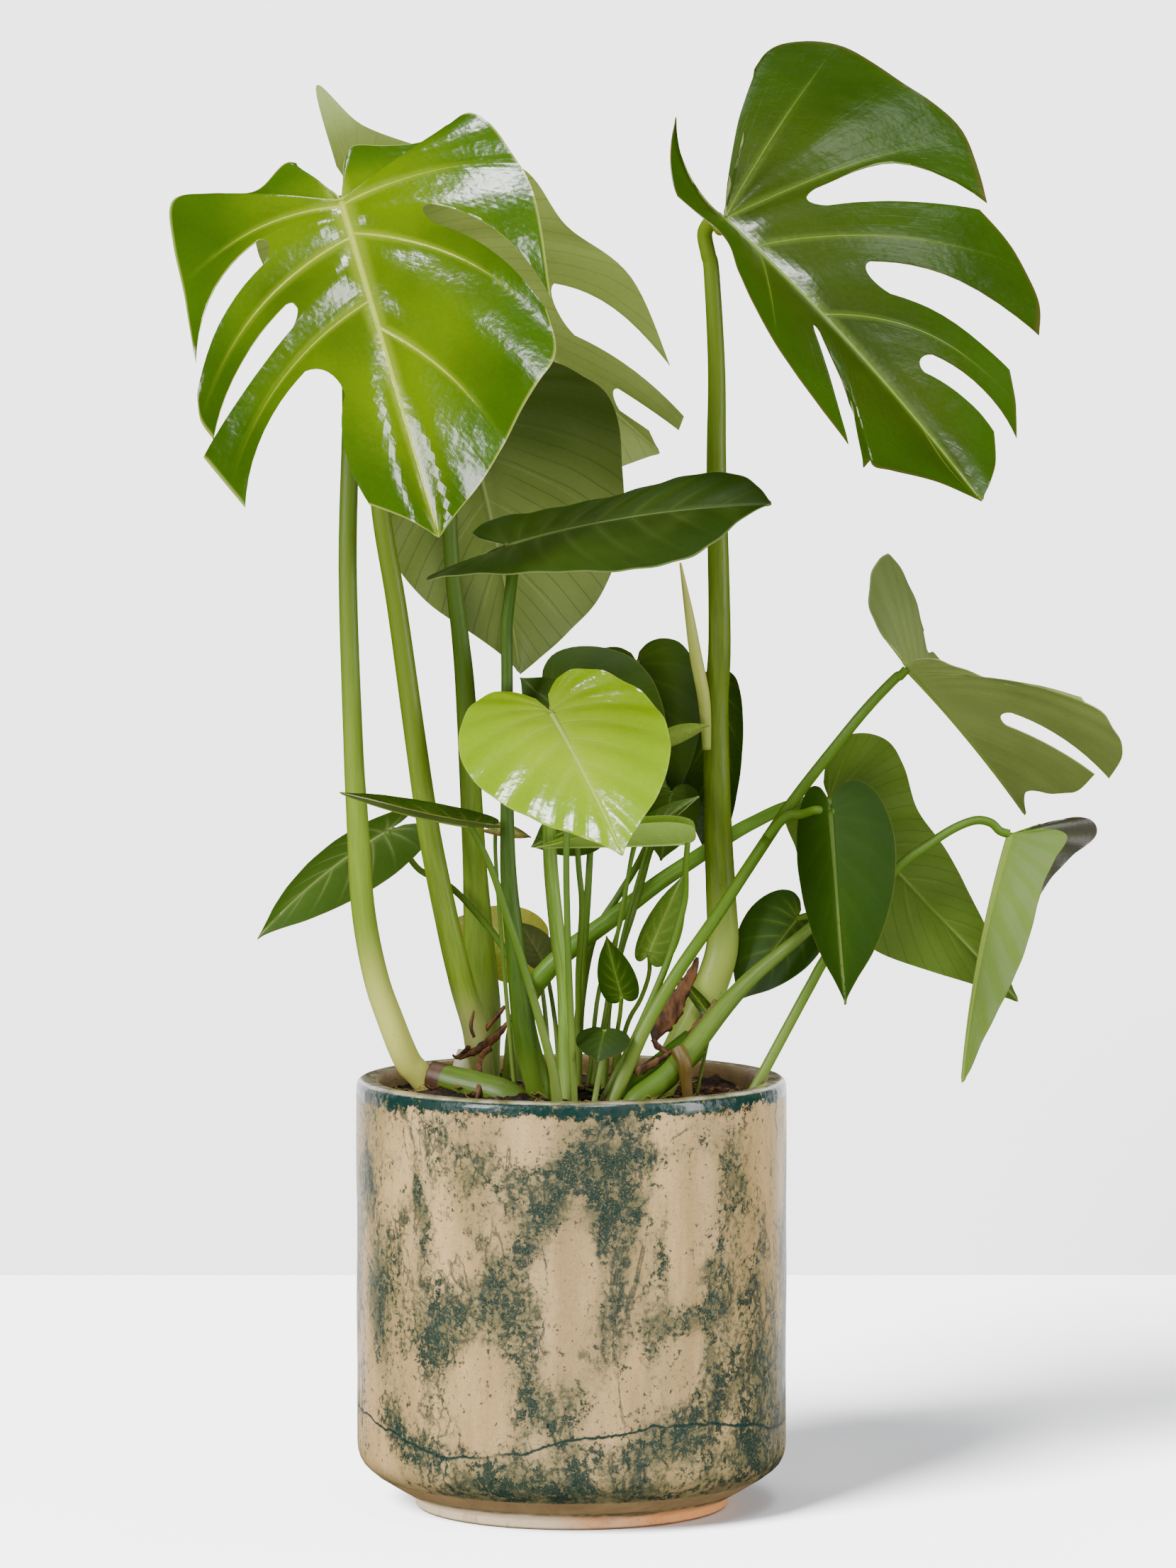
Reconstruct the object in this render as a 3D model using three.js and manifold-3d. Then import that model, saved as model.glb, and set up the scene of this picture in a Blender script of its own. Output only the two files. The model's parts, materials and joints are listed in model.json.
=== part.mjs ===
// A monstera in a glazed pot, in millimetres, +Z up, standing on z = 0 under the pot's middle.
// -Y is the front. The pot is turned, the leaves are thin curved solids on tapered stalks.
import * as THREE from 'three';
import { mergeVertices } from 'three/addons/utils/BufferGeometryUtils.js';
import Module from 'manifold-3d';

const wasm = await Module();
wasm.setup();
const { Manifold } = wasm;

// ---- driving dimensions ----
const POT_HEIGHT = 250;
const POT_RADIUS = 125;
const POT_WALL = 13;
const POT_FLOOR = 15;
const FOOT_RADIUS = 91;
const FOOT_HEIGHT = 6;
const SHOULDER_HEIGHT = 24; // where the sloping underside meets the upright wall
const POT_FACETS = 40;
const SOIL_FACETS = 20;
const SOIL_LEVEL = 238;
const SOIL_LUMP = 3;
const ROOT_LEVEL = 216; // the stalks' feet end here, inside the soil
const GAP = 0.3; // between neighbouring pieces
const BIG_BLADE = 1.1; // blade thickness of large leaves
const SMALL_BLADE = 0.8;
const BIG_SHARES = [0, 0.2, 0.38, 0.56, 0.77, 1]; // along each side vein of a split leaf
const WIDE_SHARES = [0, 0.36, 0.7, 1];
const SMALL_SHARES = [0, 0.5, 1];

const LEAF_GREEN = 0x3f6b12;
const DEEP_GREEN = 0x2f5418;
const BRIGHT_GREEN = 0x8cb82a;
const FRESH_GREEN = 0x5f9a17;
const PALE_GREEN = 0x8ba65a;
const STALK_GREEN = 0x7d9c2c;
const DARK_STALK = 0x3f6420;
const YELLOW_GREEN = 0xb9bf45;
const ROOT_BROWN = 0x7a5a22;

const rad = THREE.MathUtils.degToRad;
const vec = (p) => new THREE.Vector3(...p);

// A smooth value through rows of numbers: t = 0 is the first row, 1 the second, and so on.
function through(rows, t) {
  const last = rows.length - 1;
  const i = Math.max(0, Math.min(Math.floor(t), last - 1));
  const f = t - i;
  const row = (k) => rows[Math.max(0, Math.min(last, k))];
  return rows[0].map((_, c) => {
    const [a, b, d, e] = [row(i - 1)[c], row(i)[c], row(i + 1)[c], row(i + 2)[c]];
    return b + 0.5 * f * (d - a + f * (2 * a - 5 * b + 4 * d - e + f * (3 * (b - d) + e - a)));
  });
}

// ---- solids ----
function toSolid(positions, triangles) {
  return new Manifold(new wasm.Mesh({
    numProp: 3,
    vertProperties: Float32Array.from(positions.flat()),
    triVerts: Uint32Array.from(triangles.flat()),
  }));
}

function geometrySolid(geometry) {
  geometry.deleteAttribute('normal');
  geometry.deleteAttribute('uv');
  const merged = mergeVertices(geometry, 1e-4);
  const mesh = { numProp: 3, vertProperties: merged.attributes.position.array };
  return new Manifold(new wasm.Mesh({ ...mesh, triVerts: Uint32Array.from(merged.index.array) }));
}

function largestBody(solid) {
  return solid.decompose().sort((a, b) => b.volume() - a.volume())[0];
}

// A tapered round stalk through points; radii are spread evenly along it.
function stalk({ path, radii, sides = 7, steps = 1 }, grow = 0) {
  const spans = (path.length - 1) * steps;
  const centres = [];
  for (let i = 0; i <= spans; i += 1) centres.push(vec(through(path, i / steps)));
  const positions = [];
  const triangles = [];
  let across = new THREE.Vector3(1, 0, 0);
  centres.forEach((centre, i) => {
    const before = centres[Math.max(0, i - 1)];
    const after = centres[Math.min(spans, i + 1)];
    const along = after.clone().sub(before).normalize();
    across = across.addScaledVector(along, -across.dot(along)).normalize();
    const third = along.clone().cross(across);
    const [radius] = through(radii.map((r) => [r]), (i / spans) * (radii.length - 1));
    for (let k = 0; k < sides; k += 1) {
      const turn = (2 * Math.PI * k) / sides;
      const out = across.clone().multiplyScalar(Math.cos(turn)).addScaledVector(third, Math.sin(turn));
      positions.push(centre.clone().addScaledVector(out, radius + grow).toArray());
    }
  });
  for (let i = 0; i < spans; i += 1) {
    for (let k = 0; k < sides; k += 1) {
      const [a, b] = [i * sides + k, i * sides + ((k + 1) % sides)];
      triangles.push([a, b, b + sides], [a, b + sides, a + sides]);
    }
  }
  const end = spans * sides;
  for (let k = 1; k < sides - 1; k += 1) triangles.push([0, k + 1, k], [end, end + k, end + k + 1]);
  return toSolid(positions, triangles);
}

// The route goes on in its last direction until it is down at ROOT_LEVEL in the soil.
function rooted(path) {
  const [before, last] = path.slice(-2).map(vec);
  const along = last.clone().sub(before).normalize();
  along.z = Math.min(along.z, -0.55);
  return [...path, last.addScaledVector(along, (ROOT_LEVEL - last.z) / along.z).toArray()];
}

// ---- leaves ----
// A blade is drawn in shares of its midrib length: u runs along the midrib, v out to the side.
// Each row is one side vein: [m, left u, left v, left bow, left hook, right u, v, bow, hook].
// It leaves the midrib at m, ends on the margin at (u, v), bows back by its bow and hooks
// towards the tip at its end.
function veinPoint(row, side, s) {
  const m = row[0];
  const [u, v, bow, hook] = row.slice(side > 0 ? 1 : 5, side > 0 ? 5 : 9);
  const end = u - hook;
  const controlU = (m + end) / 2 - bow * v;
  const controlV = v / 2 + bow * (end - m);
  return [
    (1 - s) ** 2 * m + 2 * s * (1 - s) * controlU + s * s * end + hook * s ** 8,
    2 * s * (1 - s) * controlV + s * s * v,
  ];
}

// The place in space of (u, v) on a blade: the midrib is an arc from base to tip, and each half
// rises from it by its fold angle and rolls back down by its curl.
function bladePoint(leaf, u, v, side) {
  const { base, tip, face, bend = 10, fold = [0, 0, 0, 0], curl = [10, 10], flare = [0, 0] } = leaf;
  const chord = vec(tip).sub(vec(base));
  const c = chord.clone().normalize();
  const n = vec(face).addScaledVector(c, -vec(face).dot(c)).normalize();
  const l = c.clone().cross(n);
  const beta = rad(bend);
  const length = (chord.length() * (beta / 2)) / Math.sin(beta / 2);
  const phi = beta / 2 - beta * u;
  const half = side > 0 ? 0 : 1;
  const lift = fold[2 * half] + (fold[2 * half + 1] - fold[2 * half]) * u;
  const f = rad(lift + flare[half] * Math.max(0, -u));
  const k = rad(curl[half] || 0.01) / (0.5 * length);
  const across = (Math.sin(f) - Math.sin(f - k * v * length)) / k;
  const height = (Math.cos(f - k * v * length) - Math.cos(f)) / k;
  const normal = n.clone().multiplyScalar(Math.cos(phi)).addScaledVector(c, -Math.sin(phi));
  return vec(base)
    .addScaledVector(c, (length / beta) * (Math.sin(beta / 2) - Math.sin(phi)))
    .addScaledVector(n, (length / beta) * (Math.cos(phi) - Math.cos(beta / 2)))
    .addScaledVector(l, side * across)
    .addScaledVector(normal, height);
}

// The top of a large leaf's stalk: square to the underside of the blade at its base.
function underBase(leaf) {
  const base = vec(leaf.base);
  const across = bladePoint(leaf, 0, 0.01, 1).sub(bladePoint(leaf, 0, 0.01, -1));
  const normal = across.cross(bladePoint(leaf, 0.01, 0, 1).sub(base)).normalize();
  return [leaf.thick / 2 + 2 * GAP, 7].map((depth) => base.clone().addScaledVector(normal, -depth).toArray());
}

// A closed thin solid: the curved middle surface moved out by half the thickness on each face,
// with both faces split into the same triangles.
function blade(leaf, grow = 0) {
  const { rows, cuts = [], shares = SMALL_SHARES, thick = SMALL_BLADE } = leaf;
  const points = [];
  const places = new Map();
  const vertex = (point) => {
    const key = point.toArray().map((x) => x.toFixed(3)).join();
    if (!places.has(key)) places.set(key, points.push(point) - 1);
    return places.get(key);
  };
  const triangles = [];
  for (const side of [1, -1]) {
    const grid = rows.map((row) => (
      shares.map((s) => vertex(bladePoint(leaf, ...veinPoint(row, side, s), side)))
    ));
    for (let i = 0; i < rows.length - 1; i += 1) {
      const cut = cuts.find((one) => one.side === side && one.after === i);
      for (let j = 0; j < shares.length - 1; j += 1) {
        if (cut && shares[j] >= cut.from) break;
        const [a, b, c, d] = [grid[i][j], grid[i + 1][j], grid[i + 1][j + 1], grid[i][j + 1]];
        const pair = [[a, b, c], [a, c, d]];
        triangles.push(...(side > 0 ? pair.map((t) => t.reverse()) : pair));
      }
    }
  }
  const faces = triangles.filter(([a, b, c]) => a !== b && b !== c && c !== a);
  const normals = points.map(() => new THREE.Vector3());
  const edges = new Map();
  for (const face of faces) {
    const [a, b, c] = face.map((i) => points[i]);
    const normal = b.clone().sub(a).cross(c.clone().sub(a));
    face.forEach((i, at) => {
      normals[i].add(normal);
      edges.set(`${i} ${face[(at + 1) % 3]}`, [i, face[(at + 1) % 3]]);
    });
  }
  const offset = (thick + grow) / 2;
  const layer = (way) => points.map((p, i) => p.clone().addScaledVector(normals[i].clone().normalize(), way));
  const under = points.length;
  const solid = [...faces, ...faces.map(([a, b, c]) => [under + a, under + c, under + b])];
  for (const [a, b] of edges.values()) {
    if (!edges.has(`${b} ${a}`)) solid.push([b, a, under + a], [b, under + a, under + b]);
  }
  return toSolid([...layer(offset), ...layer(-offset)].map((p) => p.toArray()), solid);
}

// Side veins of an undivided heart-shaped leaf: [m, u, v, bow] for a half of full width.
const HEART = [
  [0, -0.09, 0.03, 0],
  [0, -0.17, 0.12, 0.1],
  [0, -0.18, 0.25, 0.15],
  [0, -0.08, 0.38, 0.15],
  [0.02, 0.12, 0.46, 0.15],
  [0.1, 0.34, 0.45, 0.15],
  [0.22, 0.55, 0.37, 0.12],
  [0.38, 0.73, 0.25, 0.1],
  [0.58, 0.87, 0.11, 0.05],
  [0.8, 0.95, 0.035, 0],
  [1, 1, 0, 0],
];
// Each half has its own width and ear length, as shares of the plain heart's.
function heart(left, right = left) {
  const half = ([, u, v, bow], [wide, ear]) => [u < 0 ? u * ear : u, v * wide, bow, 0];
  return HEART.map((row) => [row[0], ...half(row, left), ...half(row, right)]);
}
const smallHeart = (left, right) => heart(left, right).filter((_, i) => i % 2 === 0);

// The front left leaf, with three slits in one half and one in the other.
const FRONT_LEAF_ROWS = [
  [0, -0.07, 0.04, 0, 0, -0.09, 0.03, 0, 0],
  [0, -0.16, 0.1, 0.1, 0, -0.15, 0.07, 0, 0],
  [0, -0.1, 0.2, -0.1, 0, -0.13, 0.15, 0, 0],
  [0, -0.13, 0.31, 0, 0, -0.12, 0.26, 0, 0],
  [0, -0.14, 0.41, 0, 0, -0.17, 0.38, 0, 0],
  [0.01, 0, 0.44, 0.1, 0, -0.03, 0.45, 0.1, 0],
  [0.02, 0.17, 0.45, 0.25, 0, 0.14, 0.475, 0.2, 0],
  [0.03, 0.37, 0.465, 0.37, 0.03, 0.44, 0.44, 0.3, 0.06],
  [0.06, 0.45, 0.485, 0.27, 0, 0.47, 0.42, 0.28, 0],
  [0.12, 0.52, 0.495, 0.2, 0, 0.56, 0.42, 0.2, 0],
  [0.17, 0.59, 0.475, 0.16, 0.04, 0.62, 0.4, 0.18, 0],
  [0.21, 0.63, 0.51, 0.07, 0, 0.67, 0.35, 0.15, 0],
  [0.38, 0.79, 0.445, 0.22, 0.04, 0.74, 0.28, 0.15, 0],
  [0.42, 0.88, 0.145, 0.34, 0, 0.82, 0.21, 0.12, 0],
  [0.68, 0.94, 0.065, 0.1, 0, 0.91, 0.12, 0.08, 0],
  [1, 1, 0, 0, 0, 1, 0, 0, 0],
];
const FRONT_LEAF_CUTS = [
  { side: 1, after: 7, from: 0.38 },
  { side: -1, after: 7, from: 0.38 },
  { side: 1, after: 10, from: 0.38 },
  { side: 1, after: 12, from: 0.38 },
];

// The right leaf: a tall upper lobe and three fingers on one half, the other half folded up.
const RIGHT_LEAF_ROWS = [
  [0, -0.04, 0.02, 0, 0, -0.11, 0.1, 0, 0],
  [0, -0.08, 0.06, 0, 0, -0.29, 0.28, 0, 0],
  [0, -0.14, 0.1, 0, 0, -0.45, 0.42, 0.05, 0],
  [0, -0.2, 0.155, 0, 0, -0.53, 0.56, 0.05, 0],
  [0, -0.11, 0.2, 0, 0, -0.48, 0.71, 0, 0],
  [0, -0.03, 0.2, 0, 0, -0.29, 0.745, 0, 0],
  [0, 0.06, 0.15, 0, 0, -0.1, 0.78, 0, 0],
  [0.01, 0.15, 0.14, 0, 0, 0.17, 0.64, -0.16, 0.3],
  [0.05, 0.28, 0.21, 0, 0, 0.19, 0.6, 0.1, 0],
  [0.1, 0.42, 0.25, 0, 0, 0.33, 0.61, 0.12, 0],
  [0.16, 0.6, 0.27, 0, 0, 0.49, 0.555, 0.16, 0],
  [0.25, 0.8, 0.27, 0, 0, 0.6, 0.47, 0.28, 0.12],
  [0.29, 0.75, 0.175, 0.08, 0, 0.68, 0.32, 0.34, 0],
  [0.38, 0.8, 0.2, 0.08, 0, 0.77, 0.27, 0.34, 0],
  [0.48, 0.86, 0.24, 0.08, 0, 0.87, 0.195, 0.48, 0],
  [0.54, 0.885, 0.19, 0.08, 0, 0.84, 0.15, 0.34, 0],
  [0.74, 0.93, 0.09, 0.08, 0, 0.93, 0.085, 0.1, 0],
  [1, 1, 0, 0, 0, 1, 0, 0, 0],
];
const RIGHT_LEAF_CUTS = [
  { side: -1, after: 7, from: 0.38 },
  { side: -1, after: 11, from: 0.38 },
  { side: -1, after: 14, from: 0.38 },
  { side: 1, after: 11, from: 0.38 },
];

// The leaf behind the front one, showing its underside, with two free fingers.
const REAR_LEAF_ROWS = [
  [0, -0.12, 0.04, 0, 0, -0.1, 0.05, 0, 0],
  [0, -0.3, 0.17, 0, 0, -0.2, 0.15, 0, 0],
  [0, -0.14, 0.16, 0, 0, -0.14, 0.25, 0, 0],
  [0, 0.05, 0.22, 0.1, 0, 0.04, 0.3, 0.1, 0],
  [0.05, 0.24, 0.32, 0.1, 0, 0.22, 0.32, 0.1, 0],
  [0.14, 0.43, 0.28, 0.15, 0, 0.42, 0.34, 0.1, 0.04],
  [0.24, 0.64, 0.285, 0.2, 0, 0.5, 0.33, 0.12, 0],
  [0.36, 0.87, 0.18, 0.36, 0.04, 0.68, 0.34, 0.1, 0.04],
  [0.44, 0.98, 0.11, 0.16, 0, 0.76, 0.3, 0.1, 0],
  [0.58, 0.995, 0.075, 0.05, 0, 0.87, 0.22, 0.1, 0],
  [0.74, 0.94, 0.025, 0, 0, 0.94, 0.1, 0.05, 0],
  [1, 1, 0, 0, 0, 1, 0, 0, 0],
];
const REAR_LEAF_CUTS = [
  { side: 1, after: 7, from: 0.38 },
  { side: 1, after: 9, from: 0.56 },
  { side: -1, after: 5, from: 0.56 },
  { side: -1, after: 7, from: 0.56 },
];

// The upper right leaf: one half reaches out and is pierced, the other stands folded up.
const OUTER_LEAF_ROWS = [
  [0, -0.04, 0.06, 0, 0, -0.06, 0.03, 0, 0],
  [0, -0.03, 0.15, 0, 0, -0.2, 0.04, 0, 0],
  [0, 0.03, 0.21, 0, 0, -0.29, 0.14, 0, 0],
  [0.02, 0.13, 0.32, 0.05, 0, -0.25, 0.36, 0, 0],
  [0.05, 0.23, 0.52, 0.1, 0, -0.14, 0.55, 0, 0],
  [0.09, 0.315, 0.78, 0.15, 0, -0.06, 0.61, 0, 0],
  [0.13, 0.48, 0.8, 0.2, 0, 0.04, 0.54, 0, 0],
  [0.18, 0.667, 0.73, 0.25, 0, 0.12, 0.37, 0, 0],
  [0.24, 0.84, 0.54, 0.36, 0, 0.15, 0.22, 0, 0],
  [0.31, 0.81, 0.48, 0.18, 0, 0.22, 0.26, 0, 0],
  [0.46, 0.9, 0.33, 0.15, 0, 0.4, 0.22, 0, 0],
  [0.6, 0.9, 0.2, 0.1, 0, 0.6, 0.15, 0, 0],
  [0.76, 0.87, 0.08, 0, 0, 0.8, 0.07, 0, 0],
  [1, 1, 0, 0, 0, 1, 0, 0, 0],
];
const OUTER_LEAF_CUTS = [
  { side: 1, after: 8, from: 0.38 },
];

// The nearly level leaf, with a back-swept lobe on its near half.
const LEVEL_LEAF_ROWS = [
  [0, -0.12, 0.03, 0, 0, -0.06, 0.04, 0, 0],
  [0, -0.27, 0.06, 0, 0, -0.14, 0.12, 0, 0],
  [0, -0.29, 0.13, 0, 0, -0.18, 0.2, 0, 0],
  [0, -0.14, 0.22, 0.1, 0, -0.1, 0.25, 0.1, 0],
  [0.04, 0.1, 0.38, 0.1, 0, 0.05, 0.2, 0.1, 0],
  [0.12, 0.32, 0.46, 0.1, 0, 0.2, 0.18, 0.1, 0],
  [0.22, 0.54, 0.53, 0.12, 0, 0.38, 0.18, 0.12, 0],
  [0.34, 0.7, 0.53, 0.12, 0, 0.54, 0.22, 0.12, 0],
  [0.48, 0.82, 0.47, 0.12, 0, 0.67, 0.255, 0.12, 0],
  [0.62, 0.89, 0.33, 0.08, 0, 0.82, 0.23, 0.08, 0],
  [0.8, 0.95, 0.12, 0, 0, 0.93, 0.12, 0, 0],
  [1, 1, 0, 0, 0, 1, 0, 0, 0],
];

// The hanging leaf, seen from below.
const HANGING_LEAF_ROWS = [
  [0, -0.05, 0.04, 0, 0, -0.05, 0.03, 0, 0],
  [0, -0.1, 0.14, 0, 0, -0.1, 0.12, 0, 0],
  [0, -0.08, 0.3, 0, 0, -0.06, 0.24, 0, 0],
  [0, 0, 0.44, 0.1, 0, 0.04, 0.33, 0.1, 0],
  [0.02, 0.12, 0.53, 0.15, 0, 0.18, 0.38, 0.15, 0],
  [0.1, 0.34, 0.51, 0.15, 0, 0.4, 0.4, 0.15, 0],
  [0.22, 0.58, 0.45, 0.12, 0, 0.56, 0.37, 0.12, 0],
  [0.38, 0.77, 0.34, 0.1, 0, 0.71, 0.28, 0.1, 0],
  [0.58, 0.88, 0.2, 0.05, 0, 0.85, 0.13, 0.05, 0],
  [0.8, 0.96, 0.07, 0, 0, 0.94, 0.04, 0, 0],
  [1, 1, 0, 0, 0, 1, 0, 0, 0],
];

// The low right leaf: its upper half is narrow past a broad ear.
const LOW_LEAF_ROWS = [
  [0, -0.06, 0.03, 0, 0, -0.04, 0.04, 0, 0],
  [0, -0.13, 0.12, 0, 0, -0.1, 0.1, 0, 0],
  [0, -0.12, 0.22, 0, 0, -0.05, 0.16, 0, 0],
  [0, -0.02, 0.29, 0, 0, 0.05, 0.2, 0, 0],
  [0.04, 0.1, 0.27, 0.1, 0, 0.14, 0.24, 0.1, 0],
  [0.12, 0.25, 0.2, 0.1, 0, 0.32, 0.27, 0.1, 0],
  [0.24, 0.43, 0.175, 0.1, 0, 0.53, 0.25, 0.1, 0],
  [0.4, 0.6, 0.13, 0.1, 0, 0.72, 0.155, 0.1, 0],
  [0.6, 0.77, 0.08, 0.05, 0, 0.88, 0.06, 0.05, 0],
  [0.8, 0.92, 0.03, 0, 0, 0.95, 0.03, 0, 0],
  [1, 1, 0, 0, 0, 1, 0, 0, 0],
];

// The folded leaf hangs with both halves together; the far ear is the longer one.
const FOLDED_LEAF_ROWS = [
  [0, -0.02, 0.05, 0, 0, -0.03, 0.05, 0, 0],
  [0, -0.06, 0.14, 0, 0, -0.12, 0.18, 0, 0],
  [0, -0.05, 0.23, 0, 0, -0.19, 0.34, 0, 0],
  [0.02, 0.05, 0.21, 0.1, 0, -0.14, 0.41, 0, 0],
  [0.06, 0.15, 0.19, 0.1, 0, -0.02, 0.33, 0.1, 0],
  [0.12, 0.25, 0.185, 0.1, 0, 0.1, 0.26, 0.1, 0],
  [0.22, 0.4, 0.18, 0.1, 0, 0.25, 0.2, 0.1, 0],
  [0.36, 0.55, 0.155, 0.1, 0, 0.42, 0.17, 0.1, 0],
  [0.52, 0.7, 0.11, 0.08, 0, 0.62, 0.125, 0.08, 0],
  [0.7, 0.84, 0.06, 0.05, 0, 0.8, 0.065, 0.05, 0],
  [0.86, 0.94, 0.03, 0, 0, 0.93, 0.03, 0, 0],
  [1, 1, 0, 0, 0, 1, 0, 0, 0],
];

const split = { shares: BIG_SHARES, thick: BIG_BLADE };

// Large leaves: blade and stalk are pieces of their own. Every place is in millimetres.
const LARGE_LEAVES = [
  {
    name: 'front_left_leaf', colour: FRESH_GREEN, ...split,
    base: [-132, -28, 758], tip: [-74, -135, 570], face: [-0.1, -0.8, 0.6],
    bend: 20, fold: [4, 4, 4, 4], curl: [12, 12],
    rows: FRONT_LEAF_ROWS, cuts: FRONT_LEAF_CUTS,
    stem: {
      colour: STALK_GREEN, radii: [4.6, 5, 5.4, 6.8, 8, 7.6], sides: 8,
      path: [[-132, -27, 757], [-131, -14, 739], [-129, -8, 690], [-127, -10, 639], [-129, -14, 548],
        [-126, -14, 445], [-124, -12, 405], [-121, -6, 351], [-114, 0, 310], [-105, 6, 282],
        [-96, 12, 259], [-88, 15, 249]],
    },
  },
  {
    name: 'rear_left_leaf', colour: LEAF_GREEN, ...split,
    base: [-122, 46, 755], tip: [52, 115, 609], face: [-0.35, 0.7, 0.62],
    bend: 14, fold: [10, 10, -20, -40], curl: [10, 10],
    rows: REAR_LEAF_ROWS, cuts: REAR_LEAF_CUTS,
    stem: {
      colour: STALK_GREEN, radii: [4.6, 5, 5.6, 6.6, 7.6, 7.8], sides: 8,
      path: [[-122, 46, 754], [-124, 42, 735], [-119, 40, 690], [-115, 38, 628], [-111, 36, 576],
        [-102, 36, 522], [-91, 36, 442], [-83, 36, 388], [-72, 38, 333], [-64, 42, 299],
        [-57, 48, 274], [-54, 54, 252]],
    },
  },
  {
    name: 'hanging_leaf', colour: LEAF_GREEN, thick: BIG_BLADE, shares: WIDE_SHARES,
    base: [-65, 45, 645], tip: [-30, 59, 481], face: [0.2, 0.9, 0.3],
    bend: 24, fold: [4, 4, 4, 4], curl: [14, 14], rows: HANGING_LEAF_ROWS,
    stem: {
      colour: DARK_STALK, radii: [4, 4.2, 5, 7, 10, 9], sides: 8,
      path: [[-65, 45, 644], [-69, 34, 622], [-71, 34, 575], [-69, 37, 538], [-65, 42, 503],
        [-62, 48, 467], [-58, 62, 385], [-56, 70, 344], [-54, 73, 309], [-52, 78, 280], [-52, 80, 256]],
    },
  },
  {
    name: 'level_leaf', colour: DEEP_GREEN, thick: BIG_BLADE, shares: WIDE_SHARES,
    base: [-36, -48, 562], tip: [113, -95, 587], face: [0, -0.3, 0.95],
    bend: 16, fold: [4, 4, 14, 14], curl: [14, 14], rows: LEVEL_LEAF_ROWS,
    stem: {
      colour: DARK_STALK, radii: [3.6, 3.4, 3.6, 5.5, 7.4, 7.4],
      path: [[-36, -48, 561], [-34, -38, 543], [-37, -34, 515], [-37, -33, 482], [-37, -32, 407],
        [-36, -30, 366], [-32, -28, 326], [-28, -24, 286], [-23, -20, 261], [-18, -16, 242]],
    },
  },
  {
    name: 'right_leaf', colour: LEAF_GREEN, ...split,
    base: [88, -10, 748], tip: [229, -150, 591], face: [0.3, -0.75, 0.6],
    bend: 14, fold: [36, 10, 4, -4], curl: [4, 12], flare: [220, 0],
    rows: RIGHT_LEAF_ROWS, cuts: RIGHT_LEAF_CUTS,
    stem: {
      colour: STALK_GREEN, radii: [4, 4.4, 4.8, 6.6, 8.6, 10, 9], sides: 8,
      path: [[88, -9, 747], [83, 2, 748], [77, 10, 740], [79, 13, 727], [81, 14, 716],
        [84, 16, 659], [84, 18, 601], [86, 20, 505], [84, 24, 463], [85, 26, 402], [87, 27, 356],
        [88, 28, 325], [82, 26, 303], [75, 22, 290], [64, 18, 268]],
    },
  },
  {
    name: 'bright_heart_leaf', colour: BRIGHT_GREEN, thick: BIG_BLADE, shares: WIDE_SHARES,
    base: [-12, -62, 468], tip: [29, -140, 392], face: [0, -0.62, 0.75],
    bend: 16, fold: [2, 2, 2, 2], curl: [12, 12], rows: heart([1.12, 1.3], [1.1, 1.35]),
    stem: {
      colour: PALE_GREEN, radii: [3.4, 3.6, 4.2, 4.6, 4.6],
      path: [[-12, -62, 467], [-13, -30, 440], [-13, -12, 406], [-12, -10, 373], [-8, -12, 333],
        [-4, -14, 306], [-3, -20, 259]],
    },
  },
  {
    name: 'outer_leaf', colour: PALE_GREEN, ...split,
    base: [195, 10, 488], tip: [268, 80, 397], face: [0.3, 0.6, 0.7],
    bend: 10, fold: [0, 0, 75, 75], curl: [8, 8],
    rows: OUTER_LEAF_ROWS, cuts: OUTER_LEAF_CUTS,
    stem: {
      colour: DARK_STALK, radii: [2.6, 3, 3.4, 3.8, 4],
      path: [[195, 10, 487], [188, 10, 482], [172, 12, 465], [155, 14, 444], [129, 10, 411],
        [106, 0, 378], [83, -10, 344], [62, -16, 314], [44, -20, 284], [30, -23, 253]],
    },
  },
  {
    name: 'low_right_leaf', colour: PALE_GREEN, thick: BIG_BLADE, shares: WIDE_SHARES,
    base: [150, 34, 409], tip: [263, 60, 288], face: [-0.2, 0.9, 0.35],
    bend: 16, fold: [6, 6, 6, 6], curl: [10, 10], rows: LOW_LEAF_ROWS,
    stem: {
      colour: STALK_GREEN, radii: [3, 3.6, 4.4, 5.4, 6.4, 6.6],
      path: [[150, 34, 408], [142, 26, 409], [125, 32, 405], [107, 38, 396], [93, 40, 388],
        [72, 42, 374], [50, 44, 359], [23, 46, 338], [0, 48, 321], [-15, 50, 307], [-26, 56, 291],
        [-32, 62, 270], [-34, 66, 250]],
    },
  },
  {
    name: 'dark_heart_leaf', colour: DEEP_GREEN, thick: BIG_BLADE, shares: WIDE_SHARES,
    base: [149, -20, 407], tip: [157, -52, 298], face: [-0.1, -0.95, 0.3],
    bend: 14, fold: [-40, -40, -14, -14], curl: [6, 6], rows: heart([0.55, 0.9], [0.7, 0.9]),
    stem: {
      colour: STALK_GREEN, radii: [2.4, 2.8, 3], hangs: 'outer_leaf',
      path: [[149, -20, 406], [142, -12, 407], [134, -4, 404], [124, 0, 402], [113, -2, 390]],
    },
  },
  {
    name: 'folded_leaf', colour: PALE_GREEN, thick: BIG_BLADE, shares: WIDE_SHARES,
    base: [256, 20, 390], tip: [227, -6, 248], face: [0.95, 0.1, -0.1],
    bend: -12, fold: [62, 62, 62, 62], curl: [6, 6], rows: FOLDED_LEAF_ROWS,
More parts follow.
